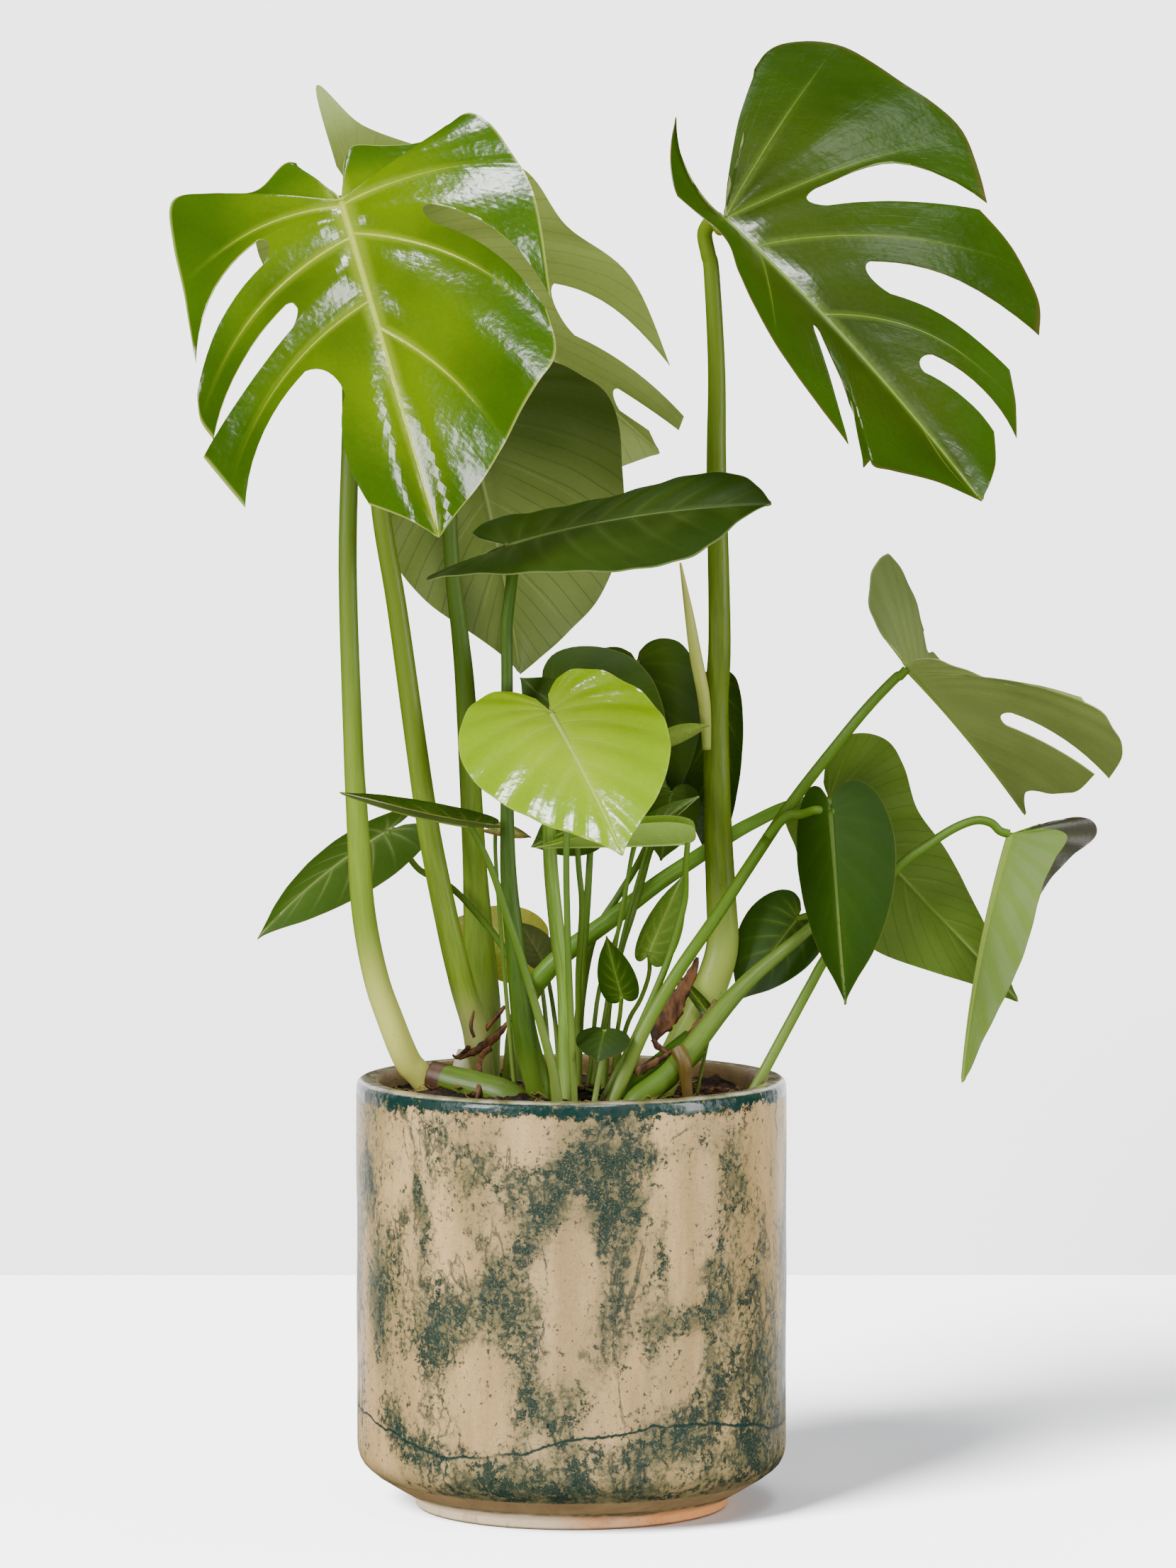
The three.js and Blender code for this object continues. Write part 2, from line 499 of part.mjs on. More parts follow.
    stem: {
      colour: STALK_GREEN, radii: [2.6, 2.6, 2.8, 3, 3.2],
      path: [[256, 20, 389], [251, 20, 396], [235, 18, 398], [222, 14, 394], [207, 8, 385],
        [191, 2, 374], [170, -3, 350], [149, -6, 323], [138, -8, 304], [126, -10, 282], [112, -12, 256]],
    },
  },
];

// Small leaves: each blade and its stalk are one piece.
const SMALL_LEAVES = [
  {
    name: 'drooping_leaf', colour: LEAF_GREEN, base: [-109, 56, 389], tip: [-184, 30, 328],
    face: [-0.55, -0.35, 0.75], fold: [5, 5, -35, -35], rows: smallHeart([0.6, 1.2]), bend: 20,
    stem: { radii: [1.8, 2, 2], path: [[-109, 56, 389], [-98, 55, 377], [-89, 54, 366], [-72, 53, 357],
      [-55, 51, 340], [-40, 46, 321], [-22, 38, 290], [-12, 34, 254]] },
  },
  {
    name: 'narrow_leaf', colour: LEAF_GREEN, base: [-58, -60, 402], tip: [-132, -70, 422],
    face: [0, -0.2, 0.97], fold: [10, 10, 25, 25], rows: smallHeart([0.7, 1.2]), bend: -14,
    stem: { radii: [1.8, 2.2, 2.6, 3.6], path: [[-58, -60, 402], [-50, -54, 386], [-44, -50, 371],
      [-38, -47, 352], [-30, -44, 328], [-20, -41, 294], [-11, -38, 260], [-9, -37, 246]] },
  },
  {
    name: 'dried_young_leaf', colour: PALE_GREEN, base: [-44, -14, 396], tip: [-23, -6, 391],
    face: [0, -0.5, 0.85], fold: [10, 10, 10, 10], rows: smallHeart([0.7, 2]),
    stem: { radii: [1.2, 1.2, 1.6], path: [[-44, -14, 396], [-44, -12, 381], [-42, -10, 350],
      [-38, -8, 300], [-34, -6, 256]] },
  },
  {
    name: 'shaded_round_leaf', colour: DEEP_GREEN, base: [-9, 0, 466], tip: [55, -20, 421],
    face: [0, -0.9, 0.4], rows: smallHeart([1, 1], [1.4, 1.5]),
    stem: { radii: [1.6, 1.8, 2.2], path: [[-9, 0, 466], [-4, 4, 450], [1, 6, 420], [4, 2, 374],
      [6, 4, 349], [4, 10, 311], [4, 16, 280], [4, 18, 256]] },
  },
  {
    name: 'shaded_rear_leaf', colour: DEEP_GREEN, base: [38, 40, 490], tip: [52, 44, 394],
    face: [0.2, -0.95, 0.2], rows: smallHeart([0.8, 0.6]),
    stem: { radii: [1.6, 1.8, 2], path: [[38, 40, 490], [42, 48, 464], [50, 48, 400], [44, 40, 372],
      [36, 36, 343], [29, 36, 321], [22, 36, 290], [20, 36, 256]] },
  },
  {
    name: 'shaded_small_leaf', colour: LEAF_GREEN, base: [2, -30, 458], tip: [-30, -14, 484],
    face: [-0.3, -0.8, 0.5], rows: smallHeart([0.9, 0.6]),
    stem: { radii: [1.7, 1.9, 2.2], path: [[2, -30, 458], [2, -34, 440], [-2, -37, 405], [-3, -38, 380],
      [-2, -38, 330], [0, -36, 280], [1, -34, 254]] },
  },
  {
    name: 'screened_leaf', colour: DEEP_GREEN, base: [85, 62, 472], tip: [83, 50, 364],
    face: [0.2, -0.95, 0.25], fold: [-40, -40, -40, -40], rows: smallHeart([0.55, 0.6]),
    stem: { radii: [1.8, 2, 2.2, 2.4], path: [[85, 62, 472], [78, 56, 462], [70, 50, 446],
      [62, 50, 431], [53, 52, 403], [40, 56, 372], [27, 60, 350], [13, 62, 326], [6, 62, 290],
      [4, 62, 256]] },
  },
  {
    name: 'young_tip_leaf', colour: PALE_GREEN, base: [54, 2, 445], tip: [80, 4, 455],
    face: [0, -0.6, 0.8], fold: [20, 20, 20, 20], rows: smallHeart([0.6, 1]),
    stem: { radii: [1.2, 1.3, 1.5], path: [[54, 2, 445], [49, 6, 436], [43, 10, 420], [34, 8, 374],
      [28, 10, 338], [16, 12, 300], [11, 10, 256]] },
  },
  {
    name: 'under_heart_leaf', colour: DEEP_GREEN, base: [12, 22, 398], tip: [-24, 18, 383],
    face: [-0.2, -0.85, 0.4], rows: smallHeart([1, 1]),
    stem: { radii: [1.8, 2.4, 3], path: [[12, 22, 398], [11, 26, 384], [9, 26, 349], [6, 28, 311],
      [4, 30, 280], [2, 32, 256]] },
  },
  {
    name: 'rolled_leaf', colour: BRIGHT_GREEN, base: [67, -22, 389], tip: [-21, -26, 387],
    face: [0, -0.5, 0.85], fold: [40, 40, 60, 60], curl: [-90, -150], rows: smallHeart([0.4, 0.3]),
    bend: -4,
    stem: { radii: [1.7, 2, 2.6], path: [[67, -22, 389], [66, -20, 376], [66, -16, 362], [65, -14, 352],
      [60, -12, 333], [53, -10, 312], [38, -8, 277], [23, -8, 247]] },
  },
  {
    name: 'pale_hanging_leaf', colour: PALE_GREEN, base: [45, 10, 322], tip: [65, 24, 366],
    face: [-0.4, -0.85, 0.3], fold: [-20, -20, -20, -20], rows: smallHeart([0.6, 0.7]),
    stem: { radii: [1.3, 1.4, 1.6], path: [[45, 10, 322], [45, 12, 309], [40, 14, 294], [33, 16, 281],
      [26, 18, 256]] },
  },
  {
    name: 'dim_round_leaf', colour: DEEP_GREEN, base: [58, 24, 414], tip: [52, 26, 374],
    face: [0.2, -0.95, 0.2], rows: smallHeart([1, 0.8]),
    stem: { radii: [1.2, 1.3, 1.5], path: [[58, 24, 414], [54, 32, 408], [44, 34, 380], [30, 28, 330],
      [22, 24, 290], [16, 22, 256]] },
  },
  {
    name: 'striped_leaf', colour: PALE_GREEN, base: [38, -2, 389], tip: [74, 4, 414],
    face: [-0.3, -0.7, 0.6], fold: [30, 30, 30, 30], rows: smallHeart([0.4, 0.5]),
    stem: { radii: [1.2, 1.3, 1.5], path: [[38, -2, 389], [34, -2, 374], [26, 2, 330],
      [20, 4, 290], [14, 3, 256]] },
  },
  {
    name: 'yellow_leaf', colour: YELLOW_GREEN, base: [-25, 96, 315], tip: [-72, 100, 333],
    face: [0, -0.8, 0.6], rows: smallHeart([1.1, 0.8]),
    stem: { radii: [1.2, 1.4, 1.6], path: [[-25, 96, 315], [-20, 92, 306], [-16, 84, 280], [-14, 80, 254]] },
  },
  {
    name: 'withered_leaf', colour: LEAF_GREEN, base: [-18, 72, 312], tip: [-32, 78, 334],
    face: [0.2, -0.8, 0.5], fold: [20, 20, 20, 20], rows: smallHeart([0.9, 0.8]),
    stem: { radii: [1.2, 1.4, 1.6], path: [[-18, 72, 312], [-14, 70, 300], [-10, 66, 276], [-8, 64, 254]] },
  },
  {
    name: 'spoon_leaf', colour: DEEP_GREEN, base: [29, -4, 298], tip: [20, -14, 334],
    face: [-0.3, -0.9, 0.2], rows: smallHeart([1, 0.6]),
    stem: { radii: [1.3, 1.4, 1.6], path: [[29, -4, 298], [28, 2, 286], [26, 6, 272], [25, 8, 254]] },
  },
  {
    name: 'front_small_leaf', colour: LEAF_GREEN, base: [19, -26, 281], tip: [15, -50, 265],
    face: [0, -0.5, 0.85], fold: [-8, -8, -8, -8], rows: smallHeart([1.2, 0.6]),
    stem: { radii: [1.4, 1.6, 1.8], path: [[19, -26, 281], [19, -27, 272], [15, -31, 250]] },
  },
  {
    name: 'sliver_leaf', colour: DEEP_GREEN, base: [84, 10, 281], tip: [61, 10, 310],
    face: [-0.2, -0.8, 0.5], fold: [30, 30, 30, 30], rows: smallHeart([0.26, 0.3]),
    stem: { radii: [1, 1.1], path: [[84, 10, 281], [80, 11, 272], [76, 12, 254]] },
  },
  {
    name: 'side_leaf', colour: LEAF_GREEN, base: [132, 30, 340], tip: [96, 24, 292],
    face: [-0.3, -0.8, 0.4], fold: [6, 6, 6, 6], rows: smallHeart([1, 1], [0.9, 1]),
    stem: {
      radii: [2, 3, 4.6, 6.4, 7.4, 7],
      path: [[132, 30, 340], [139, 24, 342], [143, 18, 340], [129, 10, 328], [106, -1, 310],
        [89, -9, 293], [71, -16, 271], [56, -23, 254], [38, -28, 240], [32, -29, 226]],
    },
  },
];

// ---- pot and soil ----
function turned(profile) {
  const points = profile.map(([r, z]) => new THREE.Vector2(r, z));
  return geometrySolid(new THREE.LatheGeometry(points, POT_FACETS).rotateX(Math.PI / 2));
}

const innerRadius = POT_RADIUS - POT_WALL;
const floorRadius = FOOT_RADIUS - 5;

function makePot() {
  return turned([
    [0, 0], [FOOT_RADIUS - 1.5, 0], [FOOT_RADIUS, 1.5], [FOOT_RADIUS, FOOT_HEIGHT],
    [POT_RADIUS - 5, SHOULDER_HEIGHT], [POT_RADIUS - 1, SHOULDER_HEIGHT + 5],
    [POT_RADIUS, SHOULDER_HEIGHT + 12], [POT_RADIUS, POT_HEIGHT - 3], [POT_RADIUS - 2, POT_HEIGHT - 0.6],
    [POT_RADIUS - 4.5, POT_HEIGHT], [innerRadius + 3, POT_HEIGHT], [innerRadius, POT_HEIGHT - 2.5],
    [innerRadius, SHOULDER_HEIGHT + 16], [floorRadius + 9, POT_FLOOR + 6], [floorRadius, POT_FLOOR],
    [0, POT_FLOOR],
  ]);
}

// The soil fills the pot up to a lumpy top just under the rim.
function soilTop(x, y) {
  const lumps = Math.sin(x / 13 + 1) * Math.cos(y / 11) + 0.6 * Math.sin((x + 2 * y) / 17);
  return SOIL_LEVEL + SOIL_LUMP * lumps;
}

function makeSoil() {
  const edge = innerRadius - GAP;
  const rings = [30, 56, 82, edge];
  const geometry = new THREE.LatheGeometry([
    [0, POT_FLOOR + GAP], [floorRadius - GAP, POT_FLOOR + GAP], [floorRadius + 9 - GAP, POT_FLOOR + 6 + GAP],
    [edge, SHOULDER_HEIGHT + 16 + GAP], ...rings.toReversed().map((r) => [r, SOIL_LEVEL]), [0, SOIL_LEVEL],
  ].map(([r, z]) => new THREE.Vector2(r, z)), SOIL_FACETS).rotateX(Math.PI / 2);
  const place = geometry.attributes.position;
  for (let i = 0; i < place.count; i += 1) {
    if (place.getZ(i) > SOIL_LEVEL - 1) place.setZ(i, soilTop(place.getX(i), place.getY(i)));
  }
  return geometrySolid(geometry);
}

// ---- stems, root and sheaths ----
const STEMS = [
  {
    name: 'left_stem', colour: STALK_GREEN, radii: [8.6, 9.4, 9], sides: 9,
    path: [[-82, 13, 250], [-70, 8, 247], [-54, 0, 244], [-38, -8, 240], [-25, -12, 231], [-18, -14, 222]],
  },
  {
    name: 'rear_stem', colour: 0xe4e6c8, radii: [7.5, 8.5, 8], sides: 8,
    path: [[-60, 62, 258], [-62, 60, 249], [-64, 57, 238], [-65, 55, 222]],
  },
  {
    name: 'right_stem', colour: DARK_STALK, radii: [9.5, 10.5, 9.5], sides: 9,
    path: [[72, 2, 270], [60, -2, 260], [48, -6, 250], [38, -8, 240], [30, -10, 224]],
  },
];
const AERIAL_ROOT = {
  radii: [4, 4, 3, 2.4], sides: 7,
  path: [[61, -27, 270], [65, -31, 262], [66, -31, 252], [68, -31, 236]],
};

// A rolled young leaf standing in the mouth of the right leaf's stalk.
const YOUNG_SPIKE = {
  radii: [0.7, 2.6, 3.6, 3.6, 2.6], sides: 7,
  path: [[63, 9, 549], [68, 11, 520], [72, 13, 495], [77, 14.5, 468], [78.5, 15.5, 440]],
};

// ---- the finished pieces ----
const plant = new THREE.Group();

function add(name, solid, colour, roughness = 0.45) {
  const { vertProperties, triVerts } = solid.getMesh();
  const geometry = new THREE.BufferGeometry();
  geometry.setAttribute('position', new THREE.BufferAttribute(vertProperties, 3));
  geometry.setIndex(new THREE.BufferAttribute(triVerts, 1));
  geometry.computeVertexNormals();
  const material = new THREE.MeshStandardMaterial({ color: colour, roughness, metalness: 0 });
  const mesh = new THREE.Mesh(geometry, material);
  mesh.name = name;
  plant.add(mesh);
}

const fatStems = STEMS.map((stem) => stalk(stem, GAP));

// What grows from a stem ends on its surface.
function onStems(solid, ...others) {
  return largestBody([...fatStems, ...others].reduce((rest, stem) => rest.subtract(stem), solid));
}

let soil = fatStems.reduce((rest, stem) => rest.subtract(stem), makeSoil());
const plantIn = (part) => { soil = soil.subtract(stalk(part, GAP)); };

for (const stem of STEMS) add(stem.name, stalk(stem), stem.colour);
const fatLeafStalks = {};
for (const leaf of LARGE_LEAVES) {
  const path = [...underBase(leaf), ...leaf.stem.path.slice(1)];
  const stem = { ...leaf.stem, path: leaf.stem.hangs ? path : rooted(path) };
  const carriers = leaf.stem.hangs ? [fatLeafStalks[leaf.stem.hangs]] : [];
  fatLeafStalks[leaf.name] = stalk(stem, GAP);
  if (!leaf.stem.hangs) plantIn(stem);
  add(`${leaf.name}_blade`, blade(leaf), leaf.colour);
  add(`${leaf.name}_stalk`, onStems(stalk(stem), blade(leaf, 2 * GAP), ...carriers), stem.colour);
}
for (const leaf of SMALL_LEAVES) {
  const stem = { sides: 5, ...leaf.stem, path: rooted(leaf.stem.path) };
  fatLeafStalks[leaf.name] = stalk(stem, GAP);
  plantIn(stem);
  add(leaf.name, onStems(blade(leaf).add(stalk(stem))), leaf.colour);
}
plantIn(AERIAL_ROOT);
add('aerial_root', onStems(stalk(AERIAL_ROOT), fatLeafStalks.side_leaf), ROOT_BROWN, 0.8);
add('young_spike', onStems(stalk(YOUNG_SPIKE), fatLeafStalks.right_leaf), YELLOW_GREEN);
add('pot', makePot(), 0xb7a68a, 0.3);
add('soil', largestBody(soil), 0x2c1c12, 0.95);

export default plant;
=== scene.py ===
import bpy
import bmesh
import json
import math
import random
from mathutils import Matrix, Vector, noise

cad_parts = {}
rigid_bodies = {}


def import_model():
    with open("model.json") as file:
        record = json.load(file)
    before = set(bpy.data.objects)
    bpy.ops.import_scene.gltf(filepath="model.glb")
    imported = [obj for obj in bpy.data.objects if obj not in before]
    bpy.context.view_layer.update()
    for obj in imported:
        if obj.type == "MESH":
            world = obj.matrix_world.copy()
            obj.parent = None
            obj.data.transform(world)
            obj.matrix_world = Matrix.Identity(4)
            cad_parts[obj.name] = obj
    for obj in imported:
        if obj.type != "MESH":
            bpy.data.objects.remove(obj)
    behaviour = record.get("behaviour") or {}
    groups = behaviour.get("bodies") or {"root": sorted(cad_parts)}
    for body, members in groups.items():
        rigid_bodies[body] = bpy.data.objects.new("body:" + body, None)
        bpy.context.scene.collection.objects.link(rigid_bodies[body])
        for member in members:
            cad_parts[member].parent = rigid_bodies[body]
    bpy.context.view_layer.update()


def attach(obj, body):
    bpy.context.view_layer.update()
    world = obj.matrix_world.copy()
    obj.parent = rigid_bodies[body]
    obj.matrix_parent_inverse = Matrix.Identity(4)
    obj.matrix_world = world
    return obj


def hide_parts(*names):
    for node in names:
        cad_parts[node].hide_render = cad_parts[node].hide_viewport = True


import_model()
scene = bpy.context.scene
mm = 0.001  # every table below is in millimetres


# a smooth row of numbers at t, kept between the rows low and high
def through(rows, t, low=0, high=None):
    high = len(rows) - 1 if high is None else high
    i = max(low, min(int(t), high - 1))
    f = t - i
    p, q, r, s = (rows[max(low, min(high, k))] for k in (i - 1, i, i + 1, i + 2))
    return [b + 0.5 * f * (d - a + f * (2 * a - 5 * b + 4 * d - e + f * (3 * (b - d) + e - a)))
            for a, b, d, e in zip(p, q, r, s)]


def softStep(value, low, high):
    x = max(0.0, min(1.0, (value - low) / (high - low)))
    return x * x * (3 - 2 * x)


def toObject(bm, name, materials, nodes):
    mesh = bpy.data.meshes.new(name)
    bm.to_mesh(mesh)
    bm.free()
    for material in materials:
        mesh.materials.append(material)
    piece = bpy.data.objects.new(name, mesh)
    scene.collection.objects.link(piece)
    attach(piece, "root")
    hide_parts(*nodes)
    return piece


# ---- finishes ----
def srgb(code):
    parts = [int(code[i:i + 2], 16) / 255 for i in (0, 2, 4)]
    return tuple([p / 12.92 if p <= 0.04045 else ((p + 0.055) / 1.055) ** 2.4 for p in parts] + [1.0])


# a socket that takes part in Python sums
class Value:
    def __init__(self, finish, socket):
        self.maths = finish.maths
        self.socket = socket

    def __pow__(self, other):
        return self.maths("POWER", self, other)

    def __abs__(self):
        return self.maths("ABSOLUTE", self)


for word, operation in (("add", "ADD"), ("sub", "SUBTRACT"), ("mul", "MULTIPLY")):
    setattr(Value, "__%s__" % word, lambda self, other, kind=operation: self.maths(kind, self, other))
    setattr(Value, "__r%s__" % word, lambda self, other, kind=operation: self.maths(kind, other, self))


class Finish:
    def __init__(self, name):
        self.material = bpy.data.materials.new(name)
        self.material.use_nodes = True
        self.tree = self.material.node_tree
        self.tree.nodes.clear()
        self.place = self.node("ShaderNodeTexCoord", {}, {}, "Object")

    # type, settings, then the values or links of its sockets
    def node(self, kind, settings, sockets, out=0):
        made = self.tree.nodes.new(kind)
        for key, value in settings.items():
            setattr(made, key, value)
        for key, value in sockets.items():
            socket = made.inputs[key]
            if isinstance(value, Value):
                self.tree.links.new(value.socket, socket)
            else:
                socket.default_value = value
        return Value(self, made.outputs[out])

    def maths(self, operation, first, second=0.0):
        return self.node("ShaderNodeMath", {"operation": operation}, {0: first, 1: second})

    def mix(self, share, first, second, blend="MIX"):
        return self.node("ShaderNodeMix", {"data_type": "RGBA", "blend_type": blend},
                         {0: share, 6: first, 7: second}, 2)

    def band(self, value, low, high, first=0.0, second=1.0):
        return self.node("ShaderNodeMapRange", {"interpolation_type": "SMOOTHSTEP"},
                         {0: value, 1: low, 2: high, 3: first, 4: second})

    def attribute(self, name):
        return self.node("ShaderNodeAttribute", {"attribute_name": name}, {}, "Fac")

    def noise(self, scale, detail=3.0, roughness=0.5, place=None, warp=0.0, out=0):
        return self.node("ShaderNodeTexNoise", {},
                         {"Vector": place or self.place, "Scale": scale, "Detail": detail,
                          "Roughness": roughness, "Distortion": warp}, out)

    # the place with its height scaled, for streaks
    def tall(self, scale):
        return self.node("ShaderNodeMapping", {}, {"Vector": self.place, "Scale": (1, 1, scale)})

    def axis(self, name):
        return self.node("ShaderNodeSeparateXYZ", {}, {"Vector": self.place}, name)

    # thin lines where a smooth noise crosses its middle value
    def threads(self, scale, width, place=None, warp=0.0, detail=3.0):
        crossing = abs(self.noise(scale, detail, 0.55, place, warp) - 0.5)
        return 1 - self.band(crossing, 0, width)

    def lines(self, value, width):
        return 1 - self.band(self.maths("PINGPONG", value, 0.5), 0, width)

    def bump(self, height, strength, distance):
        return self.node("ShaderNodeBump", {},
                         {"Strength": strength, "Distance": distance, "Height": height})

    def surface(self, sockets):
        body = self.node("ShaderNodeBsdfPrincipled", {}, sockets)
        output = self.tree.nodes.new("ShaderNodeOutputMaterial")
        self.tree.links.new(body.socket, output.inputs["Surface"])
        return self.material


# ---- camera, light and room ----
view = {"place": (0.0095, -4.3, 0.755), "down": 4.44, "lens": 170.9, "wall": 0.93}
camera = bpy.data.objects.new("camera", bpy.data.cameras.new("camera"))
camera.data.lens = view["lens"]
camera.data.sensor_width = 36
camera.location = view["place"]
camera.rotation_euler = (math.radians(90 - view["down"]), 0, 0)
scene.collection.objects.link(camera)
scene.camera = camera


# watts, and whether glossy surfaces show the lamp
def addLamp(name, place, aim, size, power, shown=True):
    lamp = bpy.data.objects.new(name, bpy.data.lights.new(name, "AREA"))
    lamp.data.shape = "RECTANGLE"
    lamp.data.size, lamp.data.size_y = size
    lamp.data.energy = power
    lamp.location = place
    lamp.rotation_euler = (Vector(place) - Vector(aim)).to_track_quat("Z", "Y").to_euler()
    lamp.visible_glossy = shown
    scene.collection.objects.link(lamp)
    return lamp


def lightOnly(name, lamps, pieces):
    group = bpy.data.collections.new(name)
    for piece in pieces:
        group.objects.link(piece)
    for lamp in lamps:
        lamp.light_linking.receiver_collection = group


addLamp("leftBox", (-2.1, -1.7, 1.5), (0, 0, 0.45), (0.7, 1.5), 62)
addLamp("rightBox", (2.2, -0.9, 1.1), (0, 0, 0.4), (0.5, 1.7), 34)
addLamp("topBox", (0.5, -1.3, 2.3), (0, 0, 0.4), (0.5, 0.8), 26)
addLamp("skyLight", (0.1, 0.3, 2.8), (0, 0, 0.3), (1.8, 1.4), 8, False)
addLamp("rearSpot", (0.8, 0.74, 2.4), (0.16, -0.08, 0.67), (0.3, 0.3), 0.8)
addLamp("highSpot", (-0.02, 0.06, 2.7), (0, -0.1, 0.43), (0.45, 0.3), 18)
addLamp("bounce", (-0.2, -1.5, 0.06), (0, 0, 0.6), (1.8, 0.7), 14, False)
# these light the pot alone: two dim strips behind for its pale side edges, then its sides and front
potLamps = [addLamp("sideGlow%d" % side, (side * 0.45, 0.85, 0.3), (0, 0, 0.12), (0.5, 0.8), 3)
            for side in (-1, 1)]
potLamps += [addLamp("leftGlow", (-1.3, -0.2, 0.3), (0, 0, 0.05), (0.4, 0.8), 15, False),
             addLamp("rightGlow", (1.3, -0.2, 0.3), (0, 0, 0.05), (0.4, 0.8), 5, False),
             addLamp("floorGlow", (0, -0.75, 0.01), (0, 0, 0.05), (1.4, 0.7), 3.5, False)]
# a soft light on the backs of the leaves, from behind the wall
rearFill = addLamp("rearFill", (0.9, 3.0, 1.6), (0, 0, 0.4), (1.6, 1.6), 30, False)
# this one only puts highlights on the bright leaf
leafGlint = addLamp("leafGlint", (0.08, -0.58, 2.67), (0, -0.11, 0.42), (0.6, 0.25), 26)
leafGlint.visible_diffuse = False

# a soft sun of its own lights the floor and the wall evenly
roomSun = bpy.data.objects.new("roomSun", bpy.data.lights.new("roomSun", "SUN"))
roomSun.data.energy = 27
roomSun.data.angle = math.radians(24)
roomSun.rotation_euler = Vector((-0.52, -0.62, 0.6)).to_track_quat("Z", "Y").to_euler()
scene.collection.objects.link(roomSun)

world = bpy.data.worlds.new("room")
world.use_nodes = True
sky = world.node_tree.nodes["Background"].inputs
sky["Color"].default_value = (0.9, 0.93, 1.0, 1)
sky["Strength"].default_value = 0.45
world.cycles_visibility.glossy = False
scene.world = world


# a square sheet, six metres each way, that lights nothing
def addSheet(name, place, turn, material):
    bm = bmesh.new()
    bmesh.ops.create_grid(bm, x_segments=1, y_segments=1, size=6)
    bmesh.ops.rotate(bm, verts=bm.verts, matrix=Matrix.Rotation(turn, 3, "X"))
    bmesh.ops.translate(bm, verts=bm.verts, vec=place)
    mesh = bpy.data.meshes.new(name)
    bm.to_mesh(mesh)
    bm.free()
    mesh.materials.append(material)
    sheet = bpy.data.objects.new(name, mesh)
    scene.collection.objects.link(sheet)
    sheet.visible_diffuse = sheet.visible_glossy = sheet.visible_shadow = False
    return sheet


floorPaint = Finish("floorPaint").surface({"Base Color": (0.82, 0.825, 0.84, 1), "Roughness": 0.8})
# the wall is clear from behind, so that views from there see the plant
wall = Finish("wallPaint")
wallPaint = wall.surface({"Base Color": (0.5, 0.5, 0.508, 1), "Roughness": 0.8,
                          "Alpha": 1 - wall.node("ShaderNodeNewGeometry", {}, {}, "Backfacing")})
lightOnly("room", [roomSun], [addSheet("floor", (0, 0, 0), 0, floorPaint),
                              addSheet("wall", (0, view["wall"], 0), math.pi / 2, wallPaint)])
print("camera and room ready")


# ---- leaf shapes ----
# Each row is one side vein: where it leaves the midrib, then for the left and the right half
# its end (along, across), its bow and the hook at its end, all in hundredths of the midrib.
def rowTable(*rows):
    return [[n / 100 for n in row] for row in rows + ((100, 100, 0, 0, 0, 100, 0, 0, 0),)]


heartRows = [  # both halves alike
    (0, -9, 3, 0), (0, -17, 12, 10), (0, -18, 25, 15), (0, -8, 38, 15), (2, 12, 46, 15), (10, 34, 45, 15),
    (22, 55, 37, 12), (38, 73, 25, 10), (58, 87, 11, 5), (80, 95, 3.5, 0), (100, 100, 0, 0),
]
frontLeafRows = rowTable(
    (0, -7, 4, 0, 0, -9, 3, 0, 0), (0, -16, 10, 10, 0, -15, 7, 0, 0), (0, -10, 20, -10, 0, -13, 15, 0, 0),
    (0, -13, 31, 0, 0, -12, 26, 0, 0), (0, -14, 41, 0, 0, -17, 38, 0, 0), (1, 0, 44, 10, 0, -3, 45, 10, 0),
    (2, 17, 45, 25, 0, 14, 47.5, 20, 0), (3, 37, 46.5, 37, 3, 44, 44, 30, 6),
    (6, 45, 48.5, 27, 0, 47, 42, 28, 0), (12, 52, 49.5, 20, 0, 56, 42, 20, 0),
    (17, 59, 47.5, 16, 4, 62, 40, 18, 0), (21, 63, 51, 7, 0, 67, 35, 15, 0),
    (38, 79, 44.5, 22, 4, 74, 28, 15, 0), (42, 88, 14.5, 34, 0, 82, 21, 12, 0),
    (68, 94, 6.5, 10, 0, 91, 12, 8, 0))
frontLeafCuts = [(1, 7, 0.38), (-1, 7, 0.38), (1, 10, 0.38), (1, 12, 0.38)]
rightLeafRows = rowTable(
    (0, -4, 2, 0, 0, -11, 10, 0, 0), (0, -8, 6, 0, 0, -29, 28, 0, 0), (0, -14, 10, 0, 0, -45, 42, 5, 0),
    (0, -20, 15.5, 0, 0, -53, 56, 5, 0), (0, -11, 20, 0, 0, -48, 71, 0, 0),
    (0, -3, 20, 0, 0, -29, 74.5, 0, 0), (0, 6, 15, 0, 0, -10, 78, 0, 0), (1, 15, 14, 0, 0, 17, 64, -16, 30),
    (5, 28, 21, 0, 0, 19, 60, 10, 0), (10, 42, 25, 0, 0, 33, 61, 12, 0),
    (16, 60, 27, 0, 0, 49, 55.5, 16, 0), (25, 80, 27, 0, 0, 60, 47, 28, 12),
    (29, 75, 17.5, 8, 0, 68, 32, 34, 0), (38, 80, 20, 8, 0, 77, 27, 34, 0),
    (48, 86, 24, 8, 0, 87, 19.5, 48, 0), (54, 88.5, 19, 8, 0, 84, 15, 34, 0),
    (74, 93, 9, 8, 0, 93, 8.5, 10, 0))
rightLeafCuts = [(-1, 7, 0.38), (-1, 11, 0.38), (-1, 14, 0.38), (1, 11, 0.38)]
